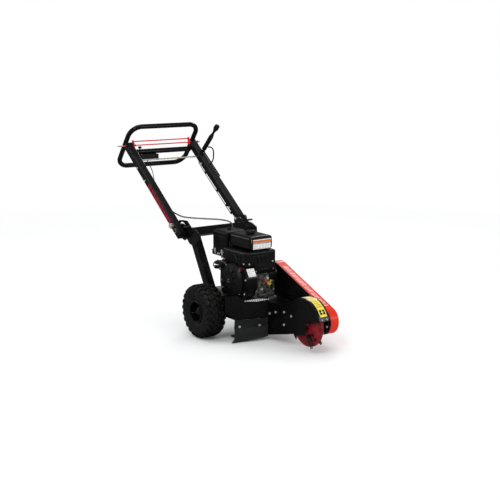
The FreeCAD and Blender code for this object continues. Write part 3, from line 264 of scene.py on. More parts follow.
# Nodes that look unlike the rest of their slot in the record.
OWN_FINISH = {
    "axle": "dark_zinc",
    "axle_nuts": "dark_zinc",
    "cutter_bolts": "dark_zinc",
    "flap_strip": "strip_black",
    "hinge_bolts": "dark_zinc",
    "rubber_flap": "flap_rubber",
    "tooth_holders": "tooth_steel",
    "wheel_bearings": "dark_zinc",
}


def dress_frame():
    """Gives every node of the frame its own finish or its slot's."""
    for part in frame["record"]["subparts"]:
        node = part["node"]
        materials = frame["nodes"][node].data.materials
        materials.clear()
        materials.append(MATERIALS[OWN_FINISH.get(node, part["material_slot"])])


# ---------------- mesh building

def facing(origin, along, normal):
    """A local frame: its x runs along, its z is the normal."""
    z = Vector(normal).normalized()
    x = (Vector(along) - z * Vector(along).dot(z)).normalized()
    return Matrix.Translation(origin) @ Matrix((x, z.cross(x), z)).transposed().to_4x4()


def polar(radius, degrees):
    """A point on a circle round zero."""
    turn = math.radians(degrees)
    return radius * math.cos(turn), radius * math.sin(turn)


def around(place, radius, height, degrees):
    """A point at an angle round a frame's local z."""
    return place @ Vector((*polar(radius, degrees), height))


def slanted(start, wide, lean, low, high):
    """The outline of a bar that leans over by so much from its foot to its head."""
    return [(start, low), (start + wide, low), (start + wide + lean, high), (start + lean, high)]


def curve_through(points, steps=8):
    """A smooth line through the points."""
    ends = [points[0] * 2 - points[1], *points, points[-1] * 2 - points[-2]]
    line = []
    for i in range(1, len(ends) - 2):
        a, b, c, d = ends[i - 1:i + 3]
        for k in range(steps):
            t = k / steps
            line.append(0.5 * (2 * b + (c - a) * t + (2 * a - 5 * b + 4 * c - d) * t ** 2
                               + (3 * b - a - 3 * c + d) * t ** 3))
    return line + [points[-1]]


def link(name, data):
    """A new object in the scene."""
    made = bpy.data.objects.new(name, data)
    bpy.context.scene.collection.objects.link(made)
    return made


class Shape:
    """A mesh that grows part by part and ends as one named piece."""

    def __init__(self, look):
        self.mesh = bmesh.new()
        self.looks = []
        self.use(look)

    def use(self, look):
        """Parts added from now on take this finish."""
        if look not in self.looks:
            self.looks.append(look)
        self.index = self.looks.index(look)
        return self

    def add(self, points, faces, bevel=0.0, segments=2, place=None):
        """A closed part, with its sharp edges rounded when a bevel is given."""
        part = bmesh.new()
        corners = [part.verts.new(place @ Vector(p) if place else p) for p in points]
        for face in faces:
            part.faces.new([corners[i] for i in face])
        bmesh.ops.remove_doubles(part, verts=part.verts, dist=0.001)
        bmesh.ops.recalc_face_normals(part, faces=part.faces)
        if bevel > 0:
            sharp = [e for e in part.edges if e.is_manifold and e.calc_face_angle(0) > 0.5]
            bmesh.ops.bevel(part, geom=sharp, offset=bevel, segments=segments, profile=0.5,
                            affect="EDGES", clamp_overlap=True)
        for face in part.faces:
            face.material_index = self.index
            face.smooth = True
        scratch = bpy.data.meshes.new("scratch")
        part.to_mesh(scratch)
        part.free()
        self.mesh.from_mesh(scratch)
        bpy.data.meshes.remove(scratch)
        return self

    def prism(self, outline, depth, place, bevel=0.0, start=0.0):
        """An outline in the local x and y, made solid along the local z."""
        count = len(outline)
        points = [(x, y, h) for h in (start, start + depth) for x, y in outline]
        faces = [list(range(count))[::-1], list(range(count, 2 * count))]
        faces += [[i, (i + 1) % count, count + (i + 1) % count, count + i] for i in range(count)]
        return self.add(points, faces, bevel, place=place)

    def block(self, low, high, bevel=1.0, place=None):
        (x0, y0, z0), (x1, y1, z1) = low, high
        outline = slanted(x0, x1 - x0, 0, y0, y1)
        return self.prism(outline, z1 - z0, place or Matrix.Identity(4), bevel, z0)

    def lathe(self, profile, place, steps=48, bevel=0.0):
        """A closed profile of (radius, height) turned about the local z."""
        count = len(profile)
        points = [(*polar(r, 360 * k / steps), h) for k in range(steps) for r, h in profile]
        faces = []
        for k in range(steps):
            here, there = k * count, (k + 1) % steps * count
            for i in range(count):
                j = (i + 1) % count
                faces.append([here + i, there + i, there + j, here + j])
        return self.add(points, faces, bevel, place=place)

    def boss(self, place, radius, height, foot=1.0, taper=1.0, steps=24, bevel=0.6):
        """A short round stud that may narrow to its top."""
        profile = [(0, -foot), (radius, -foot), (radius - taper, height), (0, height)]
        return self.lathe(profile, place, steps, bevel)

    def collar(self, place, inner, outer, low, high, steps=28, taper=0.0, bevel=0.6):
        """A ring of rectangular section that may narrow to its top."""
        profile = [(inner, low), (outer, low), (outer - taper, high), (inner, high)]
        return self.lathe(profile, place, steps, bevel)

    def tube(self, line, radius, sides=10, closed=False):
        """A round cord along a line; the radius may change along it."""
        count = len(line)
        radii = radius if isinstance(radius, list) else [radius] * count
        points, faces = [], []
        side = None
        for i, here in enumerate(line):
            before = line[i - 1] if i or closed else here
            after = line[(i + 1) % count] if i + 1 < count or closed else here
            ahead = (after - before).normalized()
            if side is None:
                side = ahead.orthogonal().normalized()
            side = (side - ahead * side.dot(ahead)).normalized()
            other = ahead.cross(side)
            for k in range(sides):
                across, over = polar(radii[i], 360 * k / sides)
                points.append(here + side * across + other * over)
        for i in range(count if closed else count - 1):
            here, there = i * sides, (i + 1) % count * sides
            for k in range(sides):
                faces.append([here + k, here + (k + 1) % sides, there + (k + 1) % sides, there + k])
        if not closed:
            faces += [list(range(sides))[::-1], list(range((count - 1) * sides, count * sides))]
        return self.add(points, faces)

    def hoop(self, place, radius, height, thick, steps, sides=8):
        """A closed cord round the local z."""
        line = [around(place, radius, height, 360 * k / steps) for k in range(steps)]
        return self.tube(line, thick, sides, closed=True)

    def sheet(self, points, columns, rows, bevel=0.0):
        """A thin skin: two layers of points, each row by row, closed round their rim."""
        wide = columns + 1
        size = wide * (rows + 1)
        faces = []
        for j in range(rows):
            for i in range(columns):
                a = j * wide + i
                faces.append([a, a + 1, a + wide + 1, a + wide])
                faces.append([size + a, size + a + wide, size + a + wide + 1, size + a + 1])
        rim = list(range(columns)) + [j * wide + columns for j in range(rows)]
        rim += [rows * wide + columns - i for i in range(columns)] + [(rows - j) * wide for j in range(rows)]
        for a, b in zip(rim, rim[1:] + rim[:1]):
            faces.append([a, size + a, size + b, b])
        return self.add(points, faces, bevel, 1)

    def wrap(self, across, upward, surface, thick, columns=12, rows=8):
        """A thin sheet laid on a curved surface; surface(u, v, lift) gives its points."""
        points = []
        for lift in (0.0, thick):
            for j in range(rows + 1):
                v = upward[0] + (upward[1] - upward[0]) * j / rows
                for i in range(columns + 1):
                    points.append(surface(across[0] + (across[1] - across[0]) * i / columns, v, lift))
        return self.sheet(points, columns, rows)

    def bolt_head(self, origin, normal, size):
        """A flanged hexagon head with a chamfered crown."""
        place = facing(origin, Vector(normal).orthogonal(), normal)
        self.lathe([(0, 0), (size * 1.25, 0), (size * 1.2, size * 0.18), (0, size * 0.2)], place, 20)
        hexagon = [polar(size, 60 * k) for k in range(6)]
        return self.prism(hexagon, size * 0.75, place, size * 0.12, size * 0.15)

    def done(self, name, body="chassis", slot=None):
        """Ends the mesh as a piece that rides on a body, or on none when no body is given."""
        mesh = bpy.data.meshes.new(name)
        self.mesh.transform(Matrix.Scale(MM, 4))
        self.mesh.to_mesh(mesh)
        self.mesh.free()
        mesh.set_sharp_from_angle(angle=math.radians(38))
        for look in self.looks:
            mesh.materials.append(MATERIALS[look])
        piece = link(name, mesh)
        if body is not None:
            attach(piece, body)
        return piece


def bolts(name, heads, body="chassis"):
    """A piece of bolt heads, each given by its place, its direction and its size."""
    shape = Shape("zinc")
    for origin, normal, size in heads:
        shape.bolt_head(origin, normal, size)
    shape.done(name, body)


def blend(piece):
    """Bakes a loose piece's transform into its mesh."""
    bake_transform(piece)


# ---------------- wheels

LUGS_ROUND = 24


def tyre(side):
    """A knobbly tyre: a carcass with three rows of tread blocks on each half."""
    node = f"tyre_{side}"
    low, high = box(node)
    centre, crown, half = (low + high) / 2, (high.z - low.z) / 2, (high.y - low.y) / 2
    bead_radius = box(f"rim_{side}")[1].z - centre.z - 7.4
    place = facing(centre, X, Y)
    sidewall = [(bead_radius + 18, half - 5), (100, half - 1.2), (115, half - 0.6), (131, half - 3),
                (143, half - 9.5), (149.5, half - 24), (152.5, half - 45), (153.2, 0)]
    carcass = [(p.x, p.y) for p in curve_through([Vector((r, w, 0)) for r, w in sidewall], 4)]
    outer = [(bead_radius, half - 12), (bead_radius + 9, half - 12)] + carcass
    profile = outer + [(r, -w) for r, w in reversed(outer[:-1])]
    shape = Shape("tyre_rubber").lathe(profile, place, 96)

    def foot(w):
        """The carcass's radius at a distance from the middle."""
        for (r0, w0), (r1, w1) in zip(carcass, carcass[1:]):
            if w1 <= abs(w) <= w0:
                return r1 + (r0 - r1) * (abs(w) - w1) / max(w0 - w1, 0.000001)
        return 131

    def top(w):
        """The tread's radius, which falls away towards its shoulders."""
        return crown - 0.2 - 0.009 * max(0, abs(w) - 30) ** 2 - 0.072 * max(0, abs(w) - 55) ** 2

    def lug(turn, spread, rows, skew):
        """One tread block that follows the carcass from row to row."""
        points, faces = [], []
        for w in rows:
            for hand in (-1, 1):
                for radius, share in ((foot(w) - 2, 1.12), (top(w), 0.88)):
                    angle = turn + hand * spread * share + skew * (w - rows[0])
                    points.append((*polar(radius, math.degrees(angle)), w))
        for a in range(0, 4 * len(rows) - 4, 4):
            b = a + 4
            faces += [[a, a + 1, b + 1, b], [a + 3, a + 2, b + 2, b + 3],
                      [a + 1, a + 3, b + 3, b + 1], [a + 2, a, b, b + 2]]
        last = 4 * len(rows) - 4
        faces += [[0, 2, 3, 1], [last, last + 1, last + 3, last + 2]]
        shape.add(points, faces, 1.1, 1, place)

    pitch = 2 * math.pi / LUGS_ROUND
    for k in range(LUGS_ROUND):
        for hand in (-1, 1):
            turn = pitch * (k + (0.5 if hand > 0 else 0))
            lug(turn, pitch * 0.27, [hand * w for w in (2.5, 12, 21)], hand * 0.0034)
            lug(turn + pitch * 0.42, pitch * 0.25, [hand * w for w in (26, 34, 42)], hand * -0.002)
            lug(turn, pitch * 0.26, [hand * w for w in (46, 53, 59, 64.5)], 0)
            between = math.degrees(turn + pitch / 2)
            knob = around(place, 128, hand * (half - 3.6), between)
            outwards = around(place.to_3x3(), 1, 0, between)
            shape.prism([(-9, -6), (9, -9), (9, 9), (-9, 6)], 3.2, facing(knob, outwards, Y * hand), 1)
    for hand in (-1, 1):
        for radius, inset in ((84, 5.3), (106, 1)):
            shape.hoop(place, radius, hand * (half - inset), 1.1, 96)
    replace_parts(shape.done(f"knobbly_tyre_{side}", f"wheel_{side}"), node)


def wheel_trim(side, out):
    """Ribs and rings on the rim's disc, a ring on its hub and the valve."""
    body = f"wheel_{side}"
    low, high = box(f"rim_{side}")
    centre = (low + high) / 2
    place = facing(centre, X, Y * out)
    web, hub, seat = 16, 26, 60
    shape = Shape("powder_black")
    outline = [(hub - 1, web), (seat + 0.5, web), (seat + 0.5, web + 12), (seat - 8, web + 9),
               (hub - 1, web + 14)]
    for k in range(6):
        for hand in (-9, 9):
            direction = around(place.to_3x3(), 1, 0, 60 * k + 30 + hand)
            rib = facing(centre, direction, direction.cross(Y * out))
            shape.prism(outline, 4, rib, 0.8, -2)
    for radius, height in ((46, web + 1.5), (66.5, 60.4)):
        shape.hoop(place, radius, height, 1.6, 72)
    shape.done(f"rim_ribs_{side}", body)

    shape = Shape("dark_zinc").lathe([(21.5, 32), (25, 32), (24, 35), (22, 35)], place, 40)
    shape.done(f"hub_ring_{side}", body)

    root, tip = around(place, 52, web, 200), around(place, 50, web + 34, 200)
    shape = Shape("belt_rubber")
    shape.tube([root, root.lerp(tip, 0.3), root.lerp(tip, 0.6), tip], [6.5, 5.2, 4, 3.6], 14)
    shape.use("raw_steel").tube([tip, tip + Y * out * 6], 2.8, 12)
    shape.done(f"valve_{side}", body)


def axle_ends():
    """Split pins through the axle outside its nuts."""
    for side, out in SIDES:
        middle = at("axle", 0.5, 0 if out < 0 else 1, 0.5) - Y * out * 3
        shape = Shape("dark_zinc").tube([middle + Z * 15, middle - Z * 15], 1.4, 8)
        shape.hoop(facing(middle + Z * 17, Z, Y), 3, 0, 1.1, 12)
        shape.done(f"split_pin_{side}")


# ---------------- flap, welds, frame

SHIELD_ANGLE = -16.26
SHIELD_CORNER = spot(220, -200, 0)
SHIELD_OUT = Vector((*polar(1, SHIELD_ANGLE), 0))
SHIELD_ALONG = Z.cross(SHIELD_OUT)


def rubber_flap():
    """A hanging sheet that bows out under its strip and kicks out at its free lower corner."""
    columns, rows, thick = 40, 36, 4.6
    top = box("rubber_flap")[1].z

    def middle(u, v):
        """The sheet's middle layer, u along the shield and v down from the strip."""
        bottom = 2.5 + 21 * u ** 1.6
        kick = max(0.0, v - 0.72) / 0.28
        bow = 7.5 * math.sin(math.pi * min(1.0, max(0.0, (v - 0.36) / 0.62))) ** 1.2
        along = -8 + 210 * u - 27 * kick ** 2.2 * (1 - u) ** 2.2 - 2.5 * math.sin(math.pi * v) * (1 - u) ** 2
        lift = 2.5 + bow * (1 - 0.35 * u) + 15 * kick ** 2 * (1 - 0.55 * u)
        lift += 1.2 * math.sin(7.5 * u + 2 * v) * max(0.0, v - 0.4)
        return SHIELD_CORNER + SHIELD_ALONG * along + SHIELD_OUT * lift + Z * (top - (top - bottom) * v)

    points = []
    for side in (-0.5, 0.5):
        for j in range(rows + 1):
            for i in range(columns + 1):
                u, v = i / columns, j / rows
                across = middle(min(1, u + 0.01), v) - middle(max(0, u - 0.01), v)
                down = middle(u, min(1, v + 0.01)) - middle(u, max(0, v - 0.01))
                points.append(middle(u, v) + down.cross(across).normalized() * side * thick)
    sheet = Shape("flap_rubber").sheet(points, columns, rows, 0.7)
    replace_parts(sheet.done("hanging_flap", slot="soft_rubber"), "rubber_flap")


def weld_beads():
    """Beads where the mast meets its feet and cross tube, and along the deck's plates."""
    shape = Shape("powder_black")

    def bead(start, end, radius=2.6):
        """A rippled bead along a straight seam."""
        count = max(6, int((end - start).length / 1.1))
        radii = [radius * (0.82 + 0.18 * math.sin(i * 1.35)) for i in range(count + 1)]
        radii[0] = radii[-1] = radius * 0.5
        shape.tube([start.lerp(end, i / count) for i in range(count + 1)], radii, 8)

    for side in (-1, 1):
        y0, y1 = side * 188 - 25, side * 188 + 25
        for x in (-24, -81):
            bead(spot(x, y0, 241.5), spot(x, y1, 241.5))
        for y in (y0, y1):
            bead(spot(-80, y, 241.5), spot(-26, y, 241.5))
        bead(spot(-223, y0, 588), spot(-223, y1, 588))
    bead(spot(-85, -184, 234.5), spot(-85, 119, 234.5), 2.2)
    bead(spot(280, 118.5, 235.5), spot(425, 118.5, 235.5), 2.2)
    bead(spot(280, 6.5, 228.5), spot(425, 6.5, 228.5), 2.2)
    bead(spot(222, -186, 236), spot(270, -18, 236), 2.4)
    for y in (-158, 110, -150, 118):
        for x in (-32, 32):
            bead(spot(x, y, 185), spot(x, y, 225), 2.2)
    shape.done("weld_beads")


def mast_feet():
    """Flange bolts that hold the mast's foot plates."""
    bolts("mast_foot_bolts", [(spot(x, out * 205, 241), Z, 5.2) for _, out in SIDES for x in (-77, -23)])


def shield_mark():
    """A plain hatch of slanted strokes on the front shield, low at both of its ends."""
    place = facing(SHIELD_CORNER + SHIELD_OUT * 0.2, SHIELD_ALONG, SHIELD_OUT)
    shape = Shape("label_white")
    height, strokes = 250, 13
    for k in range(strokes):
        tall = 8.5 - 6 * abs(2 * k / (strokes - 1) - 1)
        shape.prism(slanted(54 + k * 12, 6.5, 7, height - tall, height + tall), 0.5, place)
    shape.done("shield_mark", slot="gloss_plastic")


# ---------------- guards and their decals

def belt_guard_trim():
    """Slanted bars along the guard's top, its screws, a rim bead and a rubber plug."""
    run = CUTTER - CRANK
    run.y = 0
    along = run.normalized()
    up = along.cross(Y)
    low, high = box("belt_guard_cover")
    radius = high.z - CRANK.z
    edge = CRANK + up * (radius + 0.15)
    edge.y = (low.y + high.y) / 2
    place = facing(edge, along, up)
    shape = Shape("decal_white")
    bars = 34
    for k in range(bars):
        start = (0.08 + 0.86 * k / bars) * run.length
        shape.prism(slanted(start, (3.5, 5.5, 3, 5, 4)[k % 5], 4, -17, 16 - 2 * (k % 3)), 0.45, place)
    shape.done("guard_bars", slot="gloss_plastic")

    middle_line = [CRANK + run * share for share in (0, 1, 0.5)]
    bolts("guard_screws", [((p.x, high.y, p.z), Y, 6) for p in middle_line])

    shape = Shape("guard_orange")
    for inset, y in ((0.6, low.y + 1.2), (9, high.y - 0.3)):
        line = []
        for centre, first in ((CRANK, 90), (CUTTER, -90)):
            for k in range(25):
                ahead, above = polar(radius - inset, first + 7.5 * k)
                line.append(Vector((centre.x, y, centre.z)) + along * ahead + up * above)
        smooth = []
        for a, b in zip(line, line[1:] + line[:1]):
            parts = max(1, int((b - a).length / 12))
            smooth += [a.lerp(b, k / parts) for k in range(parts)]
        shape.tube(smooth, 1.3, 8, closed=True)
    shape.done("guard_rim_beads")

    plug = CRANK + run * 0.87 + up * radius
    plug.y = low.y + 12
    profile = [(0, -1), (9, -1), (8.5, 1.5), (5, 2.6), (0, 2.8)]
    shape = Shape("print_black").lathe(profile, facing(plug, along, up), 28)
    shape.done("guard_plug", slot="black_plastic")


def cutter_guard_trim():
    """A plain two-tone label round the guard, its rolled edges and a pair of rivets."""
    low, high = box("cutter_guard")
    radius = high.z - CUTTER.z
    shape = Shape("label_yellow")

    def band(lift, thick, first, last, y0, y1, steps):
        """A strip bent over the guard from one angle to another."""
        inner = [polar(radius + lift, first + (last - first) * k / steps) for k in range(steps + 1)]
        outer = [polar(radius + lift + thick, last + (first - last) * k / steps) for k in range(steps + 1)]
        shape.prism(inner + outer, y1 - y0, facing((CUTTER.x, y1, CUTTER.z), X, -Y))

    band(0.05, 0.4, 27, 106, 9, 59, 28)
    shape.use("print_black")
    for y0, y1 in ((15, 31), (37, 53)):
        band(0.3, 0.4, 32, 43, y0, y1, 8)
    shape.use("label_yellow")
    for y0, y1 in ((24, 31.5), (36.5, 44)):
        band(0.55, 0.3, 36.5, 38.5, y0, y1, 6)
    shape.use("label_ochre")
    for k in range(7):
        first = 50 + k * 5.4
        band(0.3, 0.3, first, first + 2.6, 14 + 3 * (k % 2), 54 - 5 * (k % 3), 4)
    shape.use("label_white")
    band(0.3, 0.3, 98, 105.5, 9.5, 58.5, 6)
    shape.done("guard_label", slot="yellow_plastic")

    place = facing((CUTTER.x, 0, CUTTER.z), X, -Y)
    shape = Shape("powder_black")
    for y in (low.y + 0.8, high.y - 0.8):
        shape.tube([around(place, radius - 0.4, -y, 17 + 115 * k / 59) for k in range(60)], 1.5, 8)
    shape.done("guard_welds")
    outwards = around(place.to_3x3(), 1, 0, 20.5)
    bolts("guard_rivets", [(around(place, radius, -y, 20.5), outwards, 4.5) for y in (18, 50)])


# ---------------- engine dressing

def tank_trim():
    """The tank's rolled seam, its plain label and the cap's ribs."""
    low, high = box("fuel_tank")
    seam, proud, corner = 591, 2, 22
    outline = []
    for cx, cy, first in ((high.x, high.y, 0), (low.x, high.y, 90), (low.x, low.y, 180),
                          (high.x, low.y, 270)):
        inwards = Vector(polar(math.sqrt(2) * (proud - corner), first + 45))
        for k in range(7):
            x, y = polar(corner, first + 15 * k)
            outline.append((cx + inwards.x + x, cy + inwards.y + y))
    Shape("engine_black").prism(outline, 3.2, Matrix.Translation((0, 0, seam)), 1).done("tank_seam")

    body_top, bend = high.z - 5, 20
    middle_y, middle_z = (low.y + high.y) / 2, (low.z + body_top) / 2
    flat_y, flat_z = (high.y - low.y) / 2 - bend, (body_top - low.z) / 2 - bend

    def front(y, z, lift):
        """The tank's front face, which bends away towards its edges."""
        over = math.hypot(max(0, abs(y - middle_y) - flat_y), max(0, abs(z - middle_z) - flat_z))
        sink = bend - math.sqrt(max(0, bend ** 2 - over ** 2))
        return Vector((high.x - sink + lift + 0.1, y, z))

    left, right = -104, 40
    shape = Shape("label_white").wrap((left + 10, right - 5), (557, 596), front, 0.5)
    shape.use("label_orange").wrap((left, right), (596.5, 611), front, 0.6)
    shape.use("label_white").wrap((left, right), (611.5, 616), front, 0.5)
    shape.use("label_grey")
    for k in range(6):
        start = left + 14 + 20 * k
        for row in range(4):
            foot = 561 + 8 * row
            shape.wrap((start, start + 15 - 3 * (row % 2)), (foot, foot + 2.4), front, 0.7, 3, 1)
    shape.done("tank_label", slot="gloss_plastic")

    cap_low, cap_high = box("fuel_cap")
    top = (cap_low + cap_high) / 2
    top.z = cap_high.z
    shape = Shape("gloss_plastic")
    for k in range(4):
        place = facing(top, Vector((*polar(1, 45 * k), 0)), Z)
        shape.prism(slanted(-21, 42, 0, -1.6, 1.6), 1.6, place, 0.5, -0.3)
    shape.lathe([(0, -0.3), (9, -0.3), (8, 2.6), (0, 3.2)], facing(top, X, Z), 30)
    shape.done("cap_ribs", "tank_cap")


def shroud_trim():
    """Raised panels and screws on the engine's shroud."""
    low, high = box("engine_shroud")
    shape = Shape("engine_black")
    for k in range(6):
        x = low.x + 40 + 27 * k
        shape.block((x, low.y - 2.4, low.z + 18), (x + 15, low.y + 1, high.z - 22), 1.2)
    for k in range(4):
        y = low.y + 55 + 30 * k
        shape.block((high.x - 1, y, low.z + 14), (high.x + 2.2, y + 19, high.z - 26), 1.2)
    shape.done("shroud_panels")
    heads = [((x, low.y, low.z + 13), -Y, 4.2) for x in (low.x + 22, high.x - 20)]
    heads += [((high.x, y, low.z + 12), X, 4.2) for y in (low.y + 26, high.y - 26)]
    bolts("shroud_screws", heads)


def air_cleaner_trim():
    """A seam lip, raised panels, a clip on each side and a wing knob on top."""
    low, high = box("air_cleaner_cover")
    shape = Shape("black_plastic")
    lip = low.z + 7
    for near, far in ((low.y - 2.5, low.y + 3), (high.y - 3, high.y + 2.5)):
        shape.block((low.x - 2.5, near, low.z), (high.x + 2.5, far, lip))
    for back, front in ((low.x - 2.5, low.x + 3), (high.x - 3, high.x + 2.5)):
        shape.block((back, low.y, low.z), (front, high.y, lip))
    shape.block((low.x + 22, low.y - 2, low.z + 24), (high.x - 22, low.y + 1, high.z - 28), 1.6)
    for k in range(5):
        z = low.z + 34 + 14 * k
        shape.block((low.x + 30, low.y - 3.2, z), (high.x - 30, low.y - 1, z + 5), 0.8)
    shape.block((low.x - 2, low.y + 24, low.z + 24), (low.x + 1, high.y - 24, high.z - 28), 1.6)
    shape.done("air_cleaner_panels")

    shape = Shape("zinc")
    for x in (low.x + 38, high.x - 38):
        shape.block((x - 7, low.y - 4.6, low.z - 16), (x + 7, low.y - 3, low.z + 20), 0.7)
        wire = [Vector((x + side, low.y - out, low.z + up))
                for side, out, up in ((-5, 5.5, 20), (-5, 8, 2), (5, 8, 2), (5, 5.5, 20))]
        shape.tube(curve_through(wire, 6), 1.2, 8)
    shape.done("air_cleaner_clips")

    top = (low + high) / 2
    top.z = high.z
    shape = Shape("black_plastic")
    shape.lathe([(0, 0), (13, 0), (12, 6), (6, 9), (0, 9)], facing(top, X, Z), 30)
    shape.block(top + Vector((-16, -3, 2)), top + Vector((16, 3, 11)), 1.5)
    shape.done("air_cleaner_knob")


def blower_trim():
    """Screws round the blower housing, a plain plate, cooling ribs and a switch."""
    low, high = box("blower_housing")
    screws = ((24, 345), (70, 446), (236, 446), (273, 386), (262, 300), (30, 300))
    bolts("blower_screws", [(spot(x, low.y, z), -Y, 4.4) for x, z in screws])

    slope = Vector((58, 0, 38)).normalized()
    place = facing(spot(265, low.y + 46, 427) + slope * 0.1, Y, slope)
    shape = Shape("label_white").prism(slanted(-27, 54, 0, -28, 24), 0.5, place)
    shape.use("label_grey")
    for row in range(4):
        foot = -22 + 12 * row
        for k in range(3 - row % 2):
            shape.prism(slanted(16 * k - 22, 11, 0, foot, foot + 3), 0.7, place)
    shape.done("rating_plate", slot="gloss_plastic")

    shape = Shape("engine_black")
    for k in range(7):
        z = 282 + 7 * k
        shape.block(spot(238 + 5 * k, low.y + 8, z), spot(262 + 3.4 * k, high.y - 8, z + 2.5), 0.8)
    shape.done("blower_ribs")

    shape = Shape("black_plastic")
    corner = spot(214, -176, 432)
    shape.block(corner, corner + Vector((34, 20, 26)), 2)
    shape.use("disc_red").block(corner + Vector((8, -4, 6)), corner + Vector((26, 1, 20)), 1.5)
    shape.done("engine_switch")


def recoil_trim():
    """The starter's centre boss, ribs, screen, well and screws."""
    place = facing((CRANK.x, 0, CRANK.z), X, -Y)
    shape = Shape("black_plastic").lathe([(0, 201.8), (0, 206), (14, 205), (18, 201.8)], place, 40)
    for radius, height in ((96, 184.5), (84, 192.5), (38, 201.3)):
        shape.hoop(place, radius, height, 1.7, 80)
    for k in range(10):
        line = [around(place, radius, height, 36 * k + 28)
                for radius, height in ((40, 201.6), (60, 199.4), (78, 194.6), (90, 189))]
        shape.tube(line, [1.2, 2.2, 2.6, 1.4], 8)
    shape.done("recoil_ribs")

    shape = Shape("raw_steel")
    for k in range(9):
        radius = 30 + 6.5 * k
        shape.hoop(place, radius, 186.5 - 0.09 * max(0, radius - 60), 0.9, 64, 6)
    shape.done("starter_screen")
    shape = Shape("black_plastic").lathe([(0, 166), (97, 166), (96, 171), (0, 172)], place, 60)
    shape.done("starter_well")
    heads = [(around(place, 99, 176, 45 + 90 * k), -Y, 4.2) for k in range(4)]
    heads += [(around(place, 9, 204, 90 + 120 * k), -Y, 2.4) for k in range(3)]
    bolts("recoil_screws", heads)


def starter_rope():
    """The rope's guide, the rope itself, which stretches to its grip, and the grip's rings."""
    low, high = box("recoil_grip")
    grip = (low + high) / 2
    root = grip + Vector((10, 14, -26))
    shape = Shape("black_plastic")
    shape.lathe([(3, 0), (9, 0), (8, 10), (3, 12)], facing(root, X, (grip - root).normalized()), 24)
    shape.block(root + Vector((-12, 2, -22)), root + Vector((14, 12, 2)), 2)
    shape.done("rope_guide")
    shape = Shape("belt_rubber").tube(curve_through([root, root.lerp(grip, 0.5), grip], 14), 2.1)
    blend(shape.done("starter_rope", None))
    shape = Shape("black_plastic")
    for x in (-30, -18, 18, 30):
        shape.hoop(facing(grip + X * x, Y, X), 10.6, 0, 1.2, 24, 6)
    shape.done("grip_rings", "starter_pull")


def crankcase_trim():
    """Cast ribs, bosses, plugs and flange bolts on the crankcase and its side cover."""
    face = spot(224, 0, 0).x
    corners = ((-62, 420), (64, 424), (-62, 300), (70, 296))
    shape = Shape("cast_alloy")
    for y in (-60, -34, 6, 50, 72):
        shape.block((face - 1, y - 2.5, 266), (face + 7, y + 2.5, 430), 1.6)
    for z in (286, 340, 396):
        shape.block((face - 1, -66, z), (face + 5, 78, z + 5), 1.6)
    shape.block((face - 1, -44, 262), (face + 12, 62, 274), 2.5)
    shape.lathe([(0, -1), (24, -1), (22, 8), (15, 10), (0, 10)], facing((face, 24, 368), Y, X), 36, 0.8)
    shape.boss(facing((face, -18, 306), Y, X), 15, 9, steps=30, bevel=0.8)
    for y, z in corners:
        shape.boss(facing((face, y, z), Y, X), 9, 9)
    shape.done("crankcase_ribs")
    shape = Shape("engine_black")
    shape.block((face + 7.5, -70, 402), (face + 10, 82, 462))
    shape.block((face + 7.5, 34, 352), (face + 10, 82, 403))
    shape.block((face + 9, -60, 424), (face + 13, 64, 432), 1.5)
    shape.done("crankcase_baffle")

    heads = [((face + 9.5, y, z), X, size) for y, z, size in ((24, 368, 8), (-18, 306, 7))]
    heads += [((face + 9, y, z), X, 4) for y, z in corners]
    cover = facing((CRANK.x, box("side_cover")[1].y, CRANK.z), X, -Y)
    heads += [(around(cover, 62, 0, 30 + 60 * k), Y, 4.4) for k in range(6)]
    bolts("crankcase_bolts", heads)

    plug = Vector((face, -2, 353))
    line = [plug + Vector((6, 0, 10)), plug + Vector((14, 6, 4)), plug + Vector((19, 14, -8))]
    shape = Shape("red_plastic").tube(curve_through(line, 6), 4.2, 12)
    wire = [line[-1], line[-1] + Vector((1, 14, -16)), line[-1] + Vector((0, 22, -30))]
    shape.use("yellow_plastic").tube(curve_through(wire, 8), 1.6, 8)
    shape.done("oil_sensor_lead")


